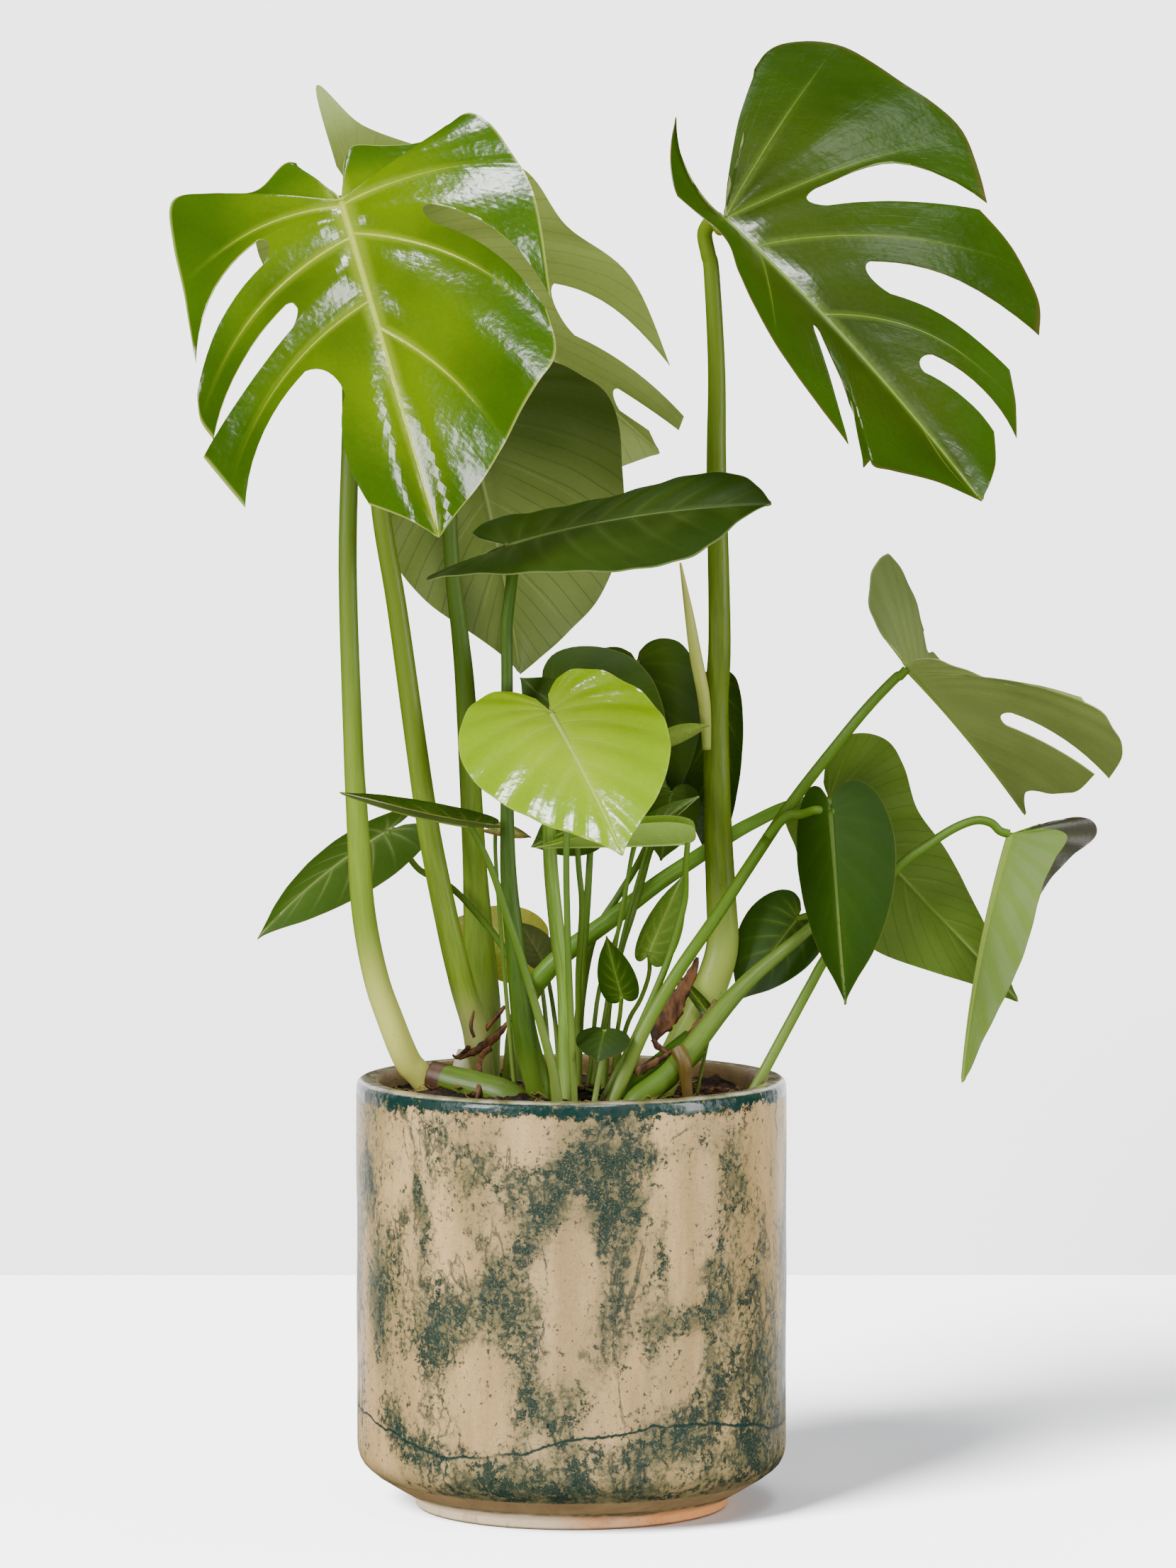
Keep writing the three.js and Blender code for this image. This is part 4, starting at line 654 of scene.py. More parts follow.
smallLeaves = [
    {"name": "drooping_leaf", "base": (-109, 56, 389), "tip": (-184, 30, 328), "face": (-0.55, -0.35, 0.75),
     "rows": heart((0.6, 1.2)), "bend": 20, "fold": (5, 5, -35, -35), "radii": (1.8, 2, 2),
     "route": ((-98, 55, 377), (-89, 54, 366), (-72, 53, 357), (-55, 51, 340), (-40, 46, 321),
     (-22, 38, 290), (-12, 34, 254))},
    {"name": "narrow_leaf", "base": (-58, -60, 402), "tip": (-132, -70, 422), "face": (0, -0.2, 0.97),
     "rows": heart((0.7, 1.2)), "bend": -14, "fold": (10, 10, 25, 25), "radii": (1.8, 2.2, 2.6, 3.6),
     "route": ((-50, -54, 386), (-44, -50, 371), (-38, -47, 352), (-30, -44, 328), (-20, -41, 294),
     (-11, -38, 260), (-9, -37, 246))},
    {"name": "dried_young_leaf", "base": (-44, -14, 396), "tip": (-23, -6, 391), "face": (0, -0.5, 0.85),
     "rows": heart((0.7, 2)), "fold": 10, "radii": (1.2, 1.2, 1.6), "route": ((-44, -12, 381),
     (-42, -10, 350), (-38, -8, 300), (-34, -6, 256))},
    {"name": "shaded_round_leaf", "base": (-9, 0, 466), "tip": (55, -20, 421), "face": (0, -0.9, 0.4),
     "rows": heart((1, 1), (1.4, 1.5)), "radii": (1.6, 1.8, 2.2), "route": ((-4, 4, 450), (1, 6, 420),
     (4, 2, 374), (6, 4, 349), (4, 10, 311), (4, 16, 280), (4, 18, 256))},
    {"name": "shaded_rear_leaf", "base": (38, 40, 490), "tip": (52, 44, 394), "face": (0.2, -0.95, 0.2),
     "rows": heart((0.8, 0.6)), "radii": (1.6, 1.8, 2), "route": ((42, 48, 464), (50, 48, 400),
     (44, 40, 372), (36, 36, 343), (29, 36, 321), (22, 36, 290), (20, 36, 256))},
    {"name": "shaded_small_leaf", "base": (2, -30, 458), "tip": (-30, -14, 484), "face": (-0.3, -0.8, 0.5),
     "rows": heart((0.9, 0.6)), "radii": (1.7, 1.9, 2.2), "route": ((2, -34, 440), (-2, -37, 405),
     (-3, -38, 380), (-2, -38, 330), (0, -36, 280), (1, -34, 254))},
    {"name": "screened_leaf", "base": (85, 62, 472), "tip": (83, 50, 364), "face": (0.2, -0.95, 0.25),
     "rows": heart((0.55, 0.6)), "fold": -40, "radii": (1.8, 2, 2.2, 2.4), "route": ((78, 56, 462),
     (70, 50, 446), (62, 50, 431), (53, 52, 403), (40, 56, 372), (27, 60, 350), (13, 62, 326), (6, 62, 290),
     (4, 62, 256))},
    {"name": "young_tip_leaf", "base": (54, 2, 445), "tip": (80, 4, 455), "face": (0, -0.6, 0.8),
     "rows": heart((0.6, 1)), "fold": 20, "radii": (1.2, 1.3, 1.5), "route": ((49, 6, 436), (43, 10, 420),
     (34, 8, 374), (28, 10, 338), (16, 12, 300), (11, 10, 256))},
    {"name": "under_heart_leaf", "base": (12, 22, 398), "tip": (-24, 18, 383), "face": (-0.2, -0.85, 0.4),
     "rows": heart((1, 1)), "radii": (1.8, 2.4, 3), "route": ((11, 26, 384), (9, 26, 349), (6, 28, 311),
     (4, 30, 280), (2, 32, 256))},
    {"name": "rolled_leaf", "base": (67, -22, 389), "tip": (-21, -26, 387), "face": (0, -0.5, 0.85),
     "rows": heart((0.4, 0.3)), "bend": -4, "fold": (40, 40, 60, 60), "curl": (-90, -150),
     "radii": (1.7, 2, 2.6), "route": ((66, -20, 376), (66, -16, 362), (65, -14, 352), (60, -12, 333),
     (53, -10, 312), (38, -8, 277), (23, -8, 247))},
    {"name": "pale_hanging_leaf", "base": (45, 10, 322), "tip": (65, 24, 366), "face": (-0.4, -0.85, 0.3),
     "rows": heart((0.6, 0.7)), "fold": -20, "radii": (1.3, 1.4, 1.6), "route": ((45, 12, 309),
     (40, 14, 294), (33, 16, 281), (26, 18, 256))},
    {"name": "dim_round_leaf", "base": (58, 24, 414), "tip": (52, 26, 374), "face": (0.2, -0.95, 0.2),
     "rows": heart((1, 0.8)), "radii": (1.2, 1.3, 1.5), "route": ((54, 32, 408), (44, 34, 380),
     (30, 28, 330), (22, 24, 290), (16, 22, 256))},
    {"name": "striped_leaf", "base": (38, -2, 389), "tip": (74, 4, 414), "face": (-0.3, -0.7, 0.6),
     "rows": heart((0.4, 0.5)), "fold": 30, "radii": (1.2, 1.3, 1.5), "route": ((34, -2, 374), (26, 2, 330),
     (20, 4, 290), (14, 3, 256))},
    {"name": "yellow_leaf", "base": (-25, 96, 315), "tip": (-72, 100, 333), "face": (0, -0.8, 0.6),
     "rows": heart((1.1, 0.8)), "radii": (1.2, 1.4, 1.6), "route": ((-20, 92, 306), (-16, 84, 280),
     (-14, 80, 254))},
    {"name": "withered_leaf", "base": (-18, 72, 312), "tip": (-32, 78, 334), "face": (0.2, -0.8, 0.5),
     "rows": heart((0.9, 0.8)), "fold": 20, "radii": (1.2, 1.4, 1.6), "route": ((-14, 70, 300),
     (-10, 66, 276), (-8, 64, 254))},
    {"name": "spoon_leaf", "base": (29, -4, 298), "tip": (20, -14, 334), "face": (-0.3, -0.9, 0.2),
     "rows": heart((0.66, 0.6)), "radii": (1.3, 1.4, 1.6), "route": ((28, 2, 286), (26, 6, 272),
     (25, 8, 254))},
    {"name": "front_small_leaf", "base": (19, -26, 281), "tip": (15, -50, 265), "face": (0, -0.5, 0.85),
     "rows": heart((1.2, 0.6)), "fold": -8, "radii": (1.4, 1.6, 1.8), "route": ((19, -27, 272),
     (15, -31, 250))},
    {"name": "sliver_leaf", "base": (84, 10, 281), "tip": (61, 10, 310), "face": (-0.2, -0.8, 0.5),
     "rows": heart((0.26, 0.3)), "fold": 30, "radii": (1, 1.1), "route": ((80, 11, 272), (76, 12, 254))},
    {"name": "side_leaf", "base": (132, 30, 340), "tip": (96, 24, 292), "face": (-0.3, -0.8, 0.4),
     "rows": heart((1, 1), (0.9, 1)), "fold": 6, "radii": (2, 3, 4.6, 6.4, 7.4, 7),
     "route": ((139, 24, 342), (143, 18, 340), (129, 10, 328), (106, -1, 310), (89, -9, 293),
     (71, -16, 271), (56, -23, 254), (38, -28, 240), (32, -29, 226))},
]
stems = [
    {"name": "left_stem", "radii": (8.6, 9.4, 9), "route": ((-82, 13, 250), (-70, 8, 247), (-54, 0, 244),
     (-38, -8, 240), (-25, -12, 231), (-18, -14, 222))},
    {"name": "rear_stem", "radii": (7.5, 8.5, 8), "route": ((-60, 62, 258), (-62, 60, 249), (-64, 57, 238),
     (-65, 55, 222))},
    {"name": "right_stem", "radii": (9.5, 10.5, 9.5), "route": ((72, 2, 270), (60, -2, 260), (48, -6, 250),
     (38, -8, 240), (30, -10, 224))},
    {"name": "aerial_root", "radii": (4.4, 4.4, 3.9, 3.3, 3.1), "route": ((61, -27, 270), (65, -31, 262),
     (66, -31, 252), (68, -31, 236))},
    {"name": "young_spike", "radii": (0.7, 2.6, 3.6, 3.6, 2.6), "route": ((63, 9, 549), (68, 11, 520),
     (72, 13, 495), (77, 14.5, 468), (78.5, 15.5, 440))},
]


# ---- leaf and stalk finishes ----
leafTones = ("inner", "outer", "deep", "pale", "lower", "lowerDeep", "edge")
# The colours in the order of leafTones, where - is as in plain: greens near the midrib and near the
# margin, darker clouds in them, veins, two for the underside, margin. top is (from height, to height,
# colour) in metres above the floor.
leafLooks = {
    "plain": ("3E5A0C 36520A 263C08 869C3C 6A7C34 54681E 6A6A28", {"gloss": 0.27, "coat": 0.05,
        "reach": 0.6, "strength": 0.5, "thread": 0.25}),
    "front_left_leaf": ("607C00 3E6000 2A4600 B4C240 7B9040 5F7A20 B4BE60", {"gloss": 0.17, "coat": 0.1,
        "crinkle": 0.5, "reach": 0.7, "strength": 0.85, "thread": 0.04}),
    "right_leaf": ("384C0A 325004 223604 74902A 7D8A4A 5C6C2C 5A4A20", {"gloss": 0.24, "coat": 0.05,
        "crinkle": 0.45, "reach": 0.85, "strength": 0.7, "thread": 0.15}),
    "rear_left_leaf": ("- - - A0AC60 9CAE50 7C8E34 8A9450", {"reach": 0.8, "top": (0.775, 0.83, "B4C87A")}),
    "bright_heart_leaf": ("9CBC18 8EB20A 7CA402 C0D25C 8CA848 7C9A30 A8BC44", {"gloss": 0.14, "coat": 0.2,
        "crinkle": 0.5, "reach": 0.4, "strength": 0.14, "thread": 0.02}),
    "level_leaf": ("2E440C 284006 1E3204 5A6E30 6A7C3C 556830 7C8C50", {"gloss": 0.34, "coat": 0.2,
        "reach": 0.5, "strength": 0.12, "thread": 0.1, "rib": 0.3, "shine": 0.35}),
    # the hanging leaf's top, from 0.57 to 0.64 m, is darkened: painted shade from the leaves above it
    "hanging_leaf": ("34480C 2C4008 223404 7C8C44 647428 4C5E12 5C6830", {"gloss": 0.4, "coat": 0.15,
        "reach": 0.9, "strength": 0.3, "thread": 0.5, "top": (0.57, 0.64, "3A4C06")}),
    "outer_leaf": ("76844C 6C7C40 5E6E32 - 86944A 64762C A0AC68", {"gloss": 0.45, "coat": 0.0,
        "thread": 0.3}),
    "low_right_leaf": ("- - - - 5E7A1C 456208 -", {"thread": 0.35, "rib": 0.4, "veinBelow": 0.3}),
    "dark_heart_leaf": ("2C4A04 264204 203A02 3E5C10 - - -", {"gloss": 0.42, "coat": 0.0, "strength": 0.05,
        "thread": 0.03, "rib": 0.2, "crinkle": 0.06, "shine": 0.18}),
    "rolled_leaf": ("86A838 7C9E30 6E9024 B4C870 8EAE48 7C9E38 A8BC60", {}),
    "yellow_leaf": ("B8BC48 B4B03C 989434 D8D080 C8BC68 B0A050 A88840", {}),
    "withered_leaf": ("5A6428 525A24 4A4420 7A7C40 6A6C38 54502C 4A3420", {"gloss": 0.5, "coat": 0.0}),
    "dried_young_leaf": ("9A9A50 8A7A3C 6A5428 A8A860 9A9A58 7A6A38 6A4A24", {}),
    "pale_hanging_leaf": ("5C7A26 527020 466418 - 6E8640 5C7630 -", {}),
    "striped_leaf": ("5C7A2A 4C6A1C 3C5A14 A0B468 8AA060 6E8444 -", {"strength": 0.8, "thread": 0.5}),
    "young_tip_leaf": ("8AA040 7C9434 6A8428 - 9AAE58 86A044 -", {}),
    "drooping_leaf": ("486420 3E5A18 304A10 98A860 - - -", {"gloss": 0.24, "strength": 0.35}),
    "front_small_leaf": ("2E480C 283F08 1E3404 4C6820 - - -", {"strength": 0.2, "gloss": 0.45,
        "coat": 0.0}),
    "spoon_leaf": ("34520C 2C4A0A 223C06 6A8430 - - -", {"gloss": 0.22}),
    "side_leaf": ("32500C 2A460A 203806 7A9038 4C6620 3E5818 -", {"gloss": 0.4, "coat": 0.0,
        "crinkle": 0.06, "strength": 0.25, "shine": 0.3}),
    # the folded leaf's upper side is greyish brown: painted shade on that side, while its underside keeps
    # its green
    "folded_leaf": ("5A5844 4E4C3C 46463A - 6E8A26 5C7818 -", {"thread": 0.15, "veinBelow": 0.12}),
}
for name in ("shaded_round_leaf", "shaded_rear_leaf", "shaded_small_leaf", "dim_round_leaf"):
    leafLooks[name] = ("3A520A 344C0A 2A4006 5C7228 - - -", {"strength": 0.2, "gloss": 0.42, "coat": 0.0,
                       "crinkle": 0.06, "shine": 0.2})


def readLook(looks, names, name):
    (plainCodes, plain), (codes, own) = looks["plain"], looks.get(name, looks["plain"])
    codes = [a if b == "-" else b for a, b in zip(plainCodes.split(), codes.split())]
    return dict(plain, **own), {key: srgb(code) for key, code in zip(names, codes)}


def leafFinish(name):
    look, tone = readLook(leafLooks, leafTones, name)
    f = Finish(name + "Skin")
    under = f.attribute("under")
    share = f.attribute("share")
    rib = 1 - f.band(f.attribute("midrib"), 0.55, 1.15)
    nearRib = 1 - f.band(f.attribute("midrib"), 1.0, 6.0)
    fromVein = f.maths("PINGPONG", f.attribute("vein"), 0.5) * f.attribute("room")
    nearVein = 1 - f.band(fromVein, 0.6, 7.0)
    reach = look["reach"]
    vein = (1 - f.band(fromVein, 0.4, 1.25)) * (1 - f.band(share, reach * 0.5, reach + 0.12))
    margin = f.band(share, 0.985, 0.999) * (1 - under)
    cloud = f.band(f.noise(9.0, 3.0, 0.5), 0.4, 0.75)
    grain = f.noise(420.0, 2.0)
    thread = f.lines(f.attribute("row") * 3 + f.noise(20.0) * 0.6, 0.07) * f.band(share, 0.05, 0.3)
    upper = f.mix(f.band(share + (f.noise(22.0) - 0.5) * 0.5, 0.2, 0.9), tone["inner"], tone["outer"])
    upper = f.mix(cloud * 0.7, upper, tone["deep"])
    upper = f.mix(thread * (look["thread"] * 0.5), upper, tone["deep"])
    halo = f.maths("MAXIMUM", nearRib, nearVein * (1 - share)) * 0.16 * (1 + look["strength"])
    upper = f.mix(halo, upper, tone["pale"])
    upper = f.mix(vein * look["strength"], upper, tone["pale"])
    lower = f.mix(cloud, tone["lower"], tone["lowerDeep"])
    lower = f.mix(thread * look["thread"], lower, tone["deep"])
    lower = f.mix(vein * look.get("veinBelow", 0.5), lower, tone["pale"])
    colour = f.mix(under, upper, lower)
    # top lays a colour over the leaf between two heights; on the hanging leaf it is painted shade
    if "top" in look:
        low, high, code = look["top"]
        colour = f.mix(f.band(f.axis("Z"), low, high) * 0.9, colour, srgb(code))
    colour = f.mix(rib * look.get("rib", 0.55 + 0.4 * look["strength"]), colour, tone["pale"])
    colour = f.mix(margin * 0.55, colour, tone["edge"])
    colour = f.mix(under * (1 - under) * 4, colour, tone["edge"])
    colour = f.mix(0.1, colour, f.mix(grain, (0, 0, 0, 1), (1, 1, 0.6, 1)), "OVERLAY")
    relief = (grain * 0.2 + f.noise(48.0, 3.0, 0.55) * 3 + f.noise(170.0, 3.0) * 0.5
              - thread * (look["thread"] * 0.8) - vein * (1 - under) * 0.5)
    roughness = f.band(under, 0, 1, look["gloss"], 0.46) + (grain - 0.5) * 0.1
    return f.surface({"Base Color": colour, "Roughness": roughness,
                      "Coat Weight": (1 - under) * look["coat"], "Coat Roughness": 0.14,
                      "Specular IOR Level": look.get("shine", 0.5),
                      "Normal": f.bump(relief, look.get("crinkle", 0.1), 0.0006)})


stalkTones = ("deep", "body", "foot")
# body is the stalk's green with deep streaks, foot its colour below footTop (metres above the floor)
stalkLooks = {
    "plain": ("4E6E10 5E801A 7E963A", {"footTop": 0.28, "blur": 0.05, "speck": 0.3}),
    # this stalk's foot is pale in itself, and drawn brighter still: painted light
    "front_left_leaf": ("7C9A20 8CA82C E4E672", {"footTop": 0.312, "blur": 0.035, "speck": 0.15,
        "head": (0.38, 0.6, "587010")}),
    "rear_left_leaf": ("6C8A14 8CA628 CCD07C", {"footTop": 0.285, "blur": 0.02, "speck": 0.1,
        "head": (0.35, 0.5, "688006")}),
    "hanging_leaf": ("6C8A18 86A22C B8C870", {"footTop": 0.285, "blur": 0.03, "speck": 0.1,
        "head": (0.36, 0.5, "3E5C0E")}),
    "level_leaf": ("34500A 486A10 6A8A28", {"footTop": 0.262, "blur": 0.015, "speck": 1.0}),
    "bright_heart_leaf": ("5E8818 8CB03A 9ABA50", {"footTop": 0.262, "blur": 0.02, "speck": 0.2}),
    "low_right_leaf": ("58841A 76A030 9CBA54", {"footTop": 0.29, "blur": 0.02, "speck": 0.2}),
    "side_leaf": ("587420 6E882E 5E7E20", {"footTop": 0.27, "blur": 0.02, "speck": 0.2}),
    "right_leaf": ("4E6404 667C0A AABE50", {"head": (0.5, 0.7, "708A0E"), "footTop": 0.335, "blur": 0.035,
        "speck": 0.4}),
    "rear_stem": ("D0CCA8 E4E0C4 C8B888", {"footTop": 0.245, "blur": 0.01, "speck": 0.1}),
    "right_stem": ("3C5E10 527A1C 4A6A18", {"footTop": 0.245, "blur": 0.01, "speck": 0.5}),
    "left_stem": ("4E6E0C 6A8A24 748A2C", {"footTop": 0.24, "blur": 0.02, "speck": 0.3, "collar": 0.011}),
    "aerial_root": ("4E3E12 70591C 5E4A18", {"footTop": 0.25, "blur": 0.01, "speck": 1.0}),
    "young_spike": ("A0A840 B8BC54 90A040", {"footTop": 0.46, "blur": 0.03, "speck": 0.5}),
}


def stalkFinish(name):
    look, tone = readLook(stalkLooks, stalkTones, name)
    f = Finish(name + "Stalk")
    turn = f.attribute("turn") * (2 * math.pi)
    ring = f.node("ShaderNodeCombineXYZ", {}, {
        "X": f.maths("COSINE", turn), "Y": f.maths("SINE", turn), "Z": f.attribute("along") * 0.012})
    streak = f.band(f.noise(3.2, 4.0, 0.6, ring), 0.35, 0.65)
    colour = f.mix(streak * 0.6, tone["body"], tone["deep"])
    if "head" in look:
        low, high, code = look["head"]
        colour = f.mix(f.band(f.axis("Z"), low, high) * 0.85, colour, srgb(code))
    foot = 1 - f.band(f.axis("Z"), look["footTop"] - look["blur"], look["footTop"] + look["blur"])
    colour = f.mix(foot, colour, tone["foot"])
    speck = f.band(f.noise(260.0, 2.0), 0.70, 0.76) * look["speck"]
    colour = f.mix(speck, colour, srgb("4A3A18"))
    grain = f.noise(700.0, 2.0)
    if "collar" in look:
        along = f.attribute("along") * mm + f.noise(90.0, 3.0) * 0.006
        collar = 1 - f.band(along, look["collar"], look["collar"] + 0.0015)
        colour = f.mix(collar, colour, f.mix(f.noise(150.0, 5.0), srgb("3A2416"), srgb("7E5C40")))
    relief = grain * 0.2 + f.noise(9.0, 3.0, 0.6, ring)
    return f.surface({"Base Color": colour, "Roughness": 0.36 + grain * 0.12, "Coat Weight": 0.12,
                      "Coat Roughness": 0.2, "Normal": f.bump(relief, 0.5, 0.0005)})


for name in ("outer", "low_right", "folded", "pale_hanging", "striped", "young_tip", "dried_young"):
    name + "_leaf"
for leaf in largeLeaves:
    name = leaf["name"]
    bm = startMesh()
    addBlade(bm, leaf, "large")
    toObject(bm, name + "_form", [leafFinish(name)], [name + "_blade"])
    bm = startMesh()
    route = underBase(leaf) + list(leaf["route"])
    addTube(bm, route if leaf.get("hangs") else rooted(route), leaf["radii"], 20, 6)
    toObject(bm, name + "_stalk_form", [stalkFinish(name)], [name + "_stalk"])
print("large leaves made")

for leaf in smallLeaves:
    name = leaf["name"]
    bm = startMesh()
    addBlade(bm, leaf, "small")
    addTube(bm, rooted([leaf["base"]] + list(leaf["route"])), leaf["radii"], 12, 5, material=1)
    toObject(bm, name + "_form", [leafFinish(name), stalkFinish(name)], [name])
print("small leaves made")

# dry brown sheaths and scars: the middle line of each strip and its half widths
husks = {
    "left_stem": [(((-36, 44, 279), (-44, 42, 270), (-53, 40, 263), (-61, 40, 259), (-66, 40, 256)),
                   (0.7, 1.4, 1.7, 1.1, 0.4)),
                  (((-47, 38, 263), (-52, 30, 260), (-54, 12, 255), (-53, -10, 247), (-55, -14, 239)),
                   (1.1, 1.2, 1.1, 1.4, 1)),
                  (((-39, 44, 287), (-50, 44, 274), (-61, 44, 262), (-67, 42, 257), (-70, 40, 259)),
                   (0.8, 1, 1, 0.8, 0.3))],
    "rear_stem": [(((-57, 30, 286), (-59, 30, 277), (-57, 30, 270)), (0.4, 0.7, 0.6))],
    "right_stem": [(((73, -8, 321), (70, -8, 312), (64, -8, 301), (58, -8, 290), (51, -8, 280),
                     (48, -8, 273)),
                    (0.7, 1.9, 3, 4.4, 3.6, 1.1)),
                   (((47, -12, 274), (50, -14, 270), (56, -16, 266)), (1, 1.2, 0.6)),
                   (((59, -14, 268), (53, -18, 264), (46, -21, 260), (39, -24, 257), (39, -24, 254)),
                    (0.6, 1.1, 1.5, 1.9, 0.6)),
                   (((84, -6, 296), (80, -8, 289), (73, -8, 282), (67, -8, 275)), (1.2, 1.2, 1.2, 0.6))],
}


def huskFinish():
    f = Finish("huskSkin")
    grain = f.noise(160.0, 6.0, 0.65, f.tall(0.35))
    colour = f.mix(f.band(grain, 0.35, 0.65), srgb("3A2114"), srgb("8A5A34"))
    colour = f.mix(f.band(f.noise(60.0, 3.0), 0.55, 0.75) * 0.6, colour, srgb("A67A48"))
    return f.surface({"Base Color": colour, "Roughness": 0.55, "Normal": f.bump(grain, 0.6, 0.0008)})


strip = {"grow": 1.5, "rag": 0.35, "cup": 1.1, "rough": 0.5, "thick": 0.35}


def addHusk(bm, line, widths, material):
    grid = bmesh.ops.create_grid(bm, x_segments=(len(line) - 1) * 6, y_segments=6, size=0.5)["verts"]
    for vert in grid:
        t = (vert.co.x + 0.5) * (len(line) - 1)
        side = vert.co.y * 2
        centre = Vector(through(line, t))
        ahead, behind = min(len(line) - 1, t + 0.1), max(0, t - 0.1)
        along = Vector(through(line, ahead)) - Vector(through(line, behind))
        across = along.cross(Vector((0, 1, 0.1))).normalized()
        rag = 1 + strip["rag"] * noise.noise(centre * 0.35 + Vector((0, 0, side * 2)))
        width = max(0.1, through([(w,) for w in widths], t)[0]) * rag * strip["grow"]
        cup = strip["cup"] * side * side * min(1, width)
        rough = strip["rough"] * noise.noise(centre * 0.5 + across * side)
        vert.co = (centre + across * (side * width) + Vector((0, cup, 0)) + Vector((0, rough, 0))) * mm
    faces = list({face for vert in grid for face in vert.link_faces})
    shell = bmesh.ops.solidify(bm, geom=faces, thickness=strip["thick"] * mm)["geom"]
    for face in set(faces) | {item for item in shell if isinstance(item, bmesh.types.BMFace)}:
        face.smooth = True
        face.material_index = material


husk = huskFinish()
for stem in stems:
    name = stem["name"]
    bm = startMesh()
    addTube(bm, stem["route"], stem["radii"], 24, 8)
    for line, widths in husks.get(name, ()):
        addHusk(bm, line, widths, 1)
    toObject(bm, name + "_form", [stalkFinish(name), husk], [name])
print("stems made")


# ---- pot ----
# steps round it and the most that a step rises outside the radius mouth; blotches lie outside glazed,
# waves is how far the wall is off round, perDegree its length for a degree of turn
pot = {"profile": ((0, 0), (88.6, 0), (90.2, 0.5), (91, 1.6), (91.2, 5.2), (92.2, 6.6), (96, 8.7),
                   (106, 14.6), (114, 19.6), (119, 23.4), (121.8, 26.3), (123.6, 29.6), (124.6, 33),
                   (125, 37), (125.1, 60), (125, 130), (125.1, 200), (125, 240), (124.9, 245.6),
                   (124.2, 248.2), (122.8, 249.6), (120.6, 250), (115.4, 250), (113.4, 249.4),
                   (112.3, 247.6), (112, 244), (112, 40), (110.6, 34), (95, 21), (86, 15), (0, 15)),
       "steps": 240, "rise": 6, "mouth": 114, "glazed": 100, "wall": 118, "waves": 0.5, "perDegree": 2.18}


# green blotches on the wall: degrees to the right of the front, height, half width, half height, lean,
# strength; clearings are the bare places between them
blotches = [(-17, 131, 17, 22, 10, 1), (-36, 118, 16, 20, -20, 0.95), (-8, 92, 12, 22, 20, 0.8),
            (9, 190, 5, 24, 0, 1.1), (15, 194, 3.5, 20, 0, 1), (-6, 190, 7, 32, -35, 0.85),
            (18, 220, 24, 6, 5, 0.8), (50, 205, 12, 18, 30, 0.65), (32, 124, 28, 8, 12, 0.75),
            (38, 149, 6, 6, 0, 0.7), (-44, 193, 4, 20, 8, 1), (-63, 124, 12, 26, 10, 0.75),
            (-17, 32, 34, 13, 0, 1), (21, 52, 30, 14, 15, 0.8), (-10, 72, 12, 14, 0, 0.75),
            (-56, 60, 14, 12, 0, 0.6), (55, 40, 22, 12, 0, 0.75), (-45, 42, 20, 9, 0, 0.7),
            (-26, 215, 10, 16, -20, 0.55), (62, 90, 8, 22, 0, 0.5), (40, 85, 6, 26, 5, 0.55),
            (-70, 200, 8, 26, 0, 0.5), (2, 24, 60, 8, 0, 0.85), (60, 165, 5, 26, -10, 0.45),
            (25, 160, 4, 30, 5, 0.5), (-25, 165, 5, 20, 20, 0.5)]
clearings = [(12, 76, 17, 24), (-24, 72, 11, 26), (1, 150, 13, 34), (-45, 88, 9, 20), (33, 185, 16, 28),
             (-33, 172, 14, 22), (-12, 225, 16, 8), (43, 58, 10, 14)]
roll = random.Random(12)
for k in range(26):  # the side that the photo doesn't show
    blotches.append((80 + 200 * roll.random(), 25 + 200 * roll.random(), 6 + 14 * roll.random(),
                     8 + 20 * roll.random(), roll.uniform(-30, 30), roll.uniform(0.5, 1)))
# foot is the bare clay's tan, drawn paler as painted bounce light from the floor; dark serves the specks
# and the painted contact shadow along the bottom
glaze = {"light": "C8A672", "tan": "A68856", "grey": "787048", "wash": "4A4E34", "teal": "12302A",
         "dark": "101E1A", "lip": "C0B698", "clay": "D48E52", "foot": "DCC49C", "inside": "7C5E38"}


# how blotchy the wall is at a place: above 0 green, below 0 clean
def blotchAt(x, y, z):
    angle = math.degrees(math.atan2(x, -y))
    sway = noise.noise(Vector((x, y, z)) * 0.035) * 9
    total = 0.0
    for sign, patches in ((1, blotches), (-1, clearings)):
        for patch in patches:
            turn = (angle - patch[0] + 180) % 360 - 180
            across, up = turn * pot["perDegree"] + sway, z - patch[1] + sway * 0.7
            lean = math.radians(patch[4]) if len(patch) > 4 else 0
            u = (across * math.cos(lean) + up * math.sin(lean)) / patch[2]
            v = (up * math.cos(lean) - across * math.sin(lean)) / patch[3]
            total += sign * (patch[5] if len(patch) > 5 else 0.55) * math.exp(-(u * u + v * v) * 0.8)
    return total


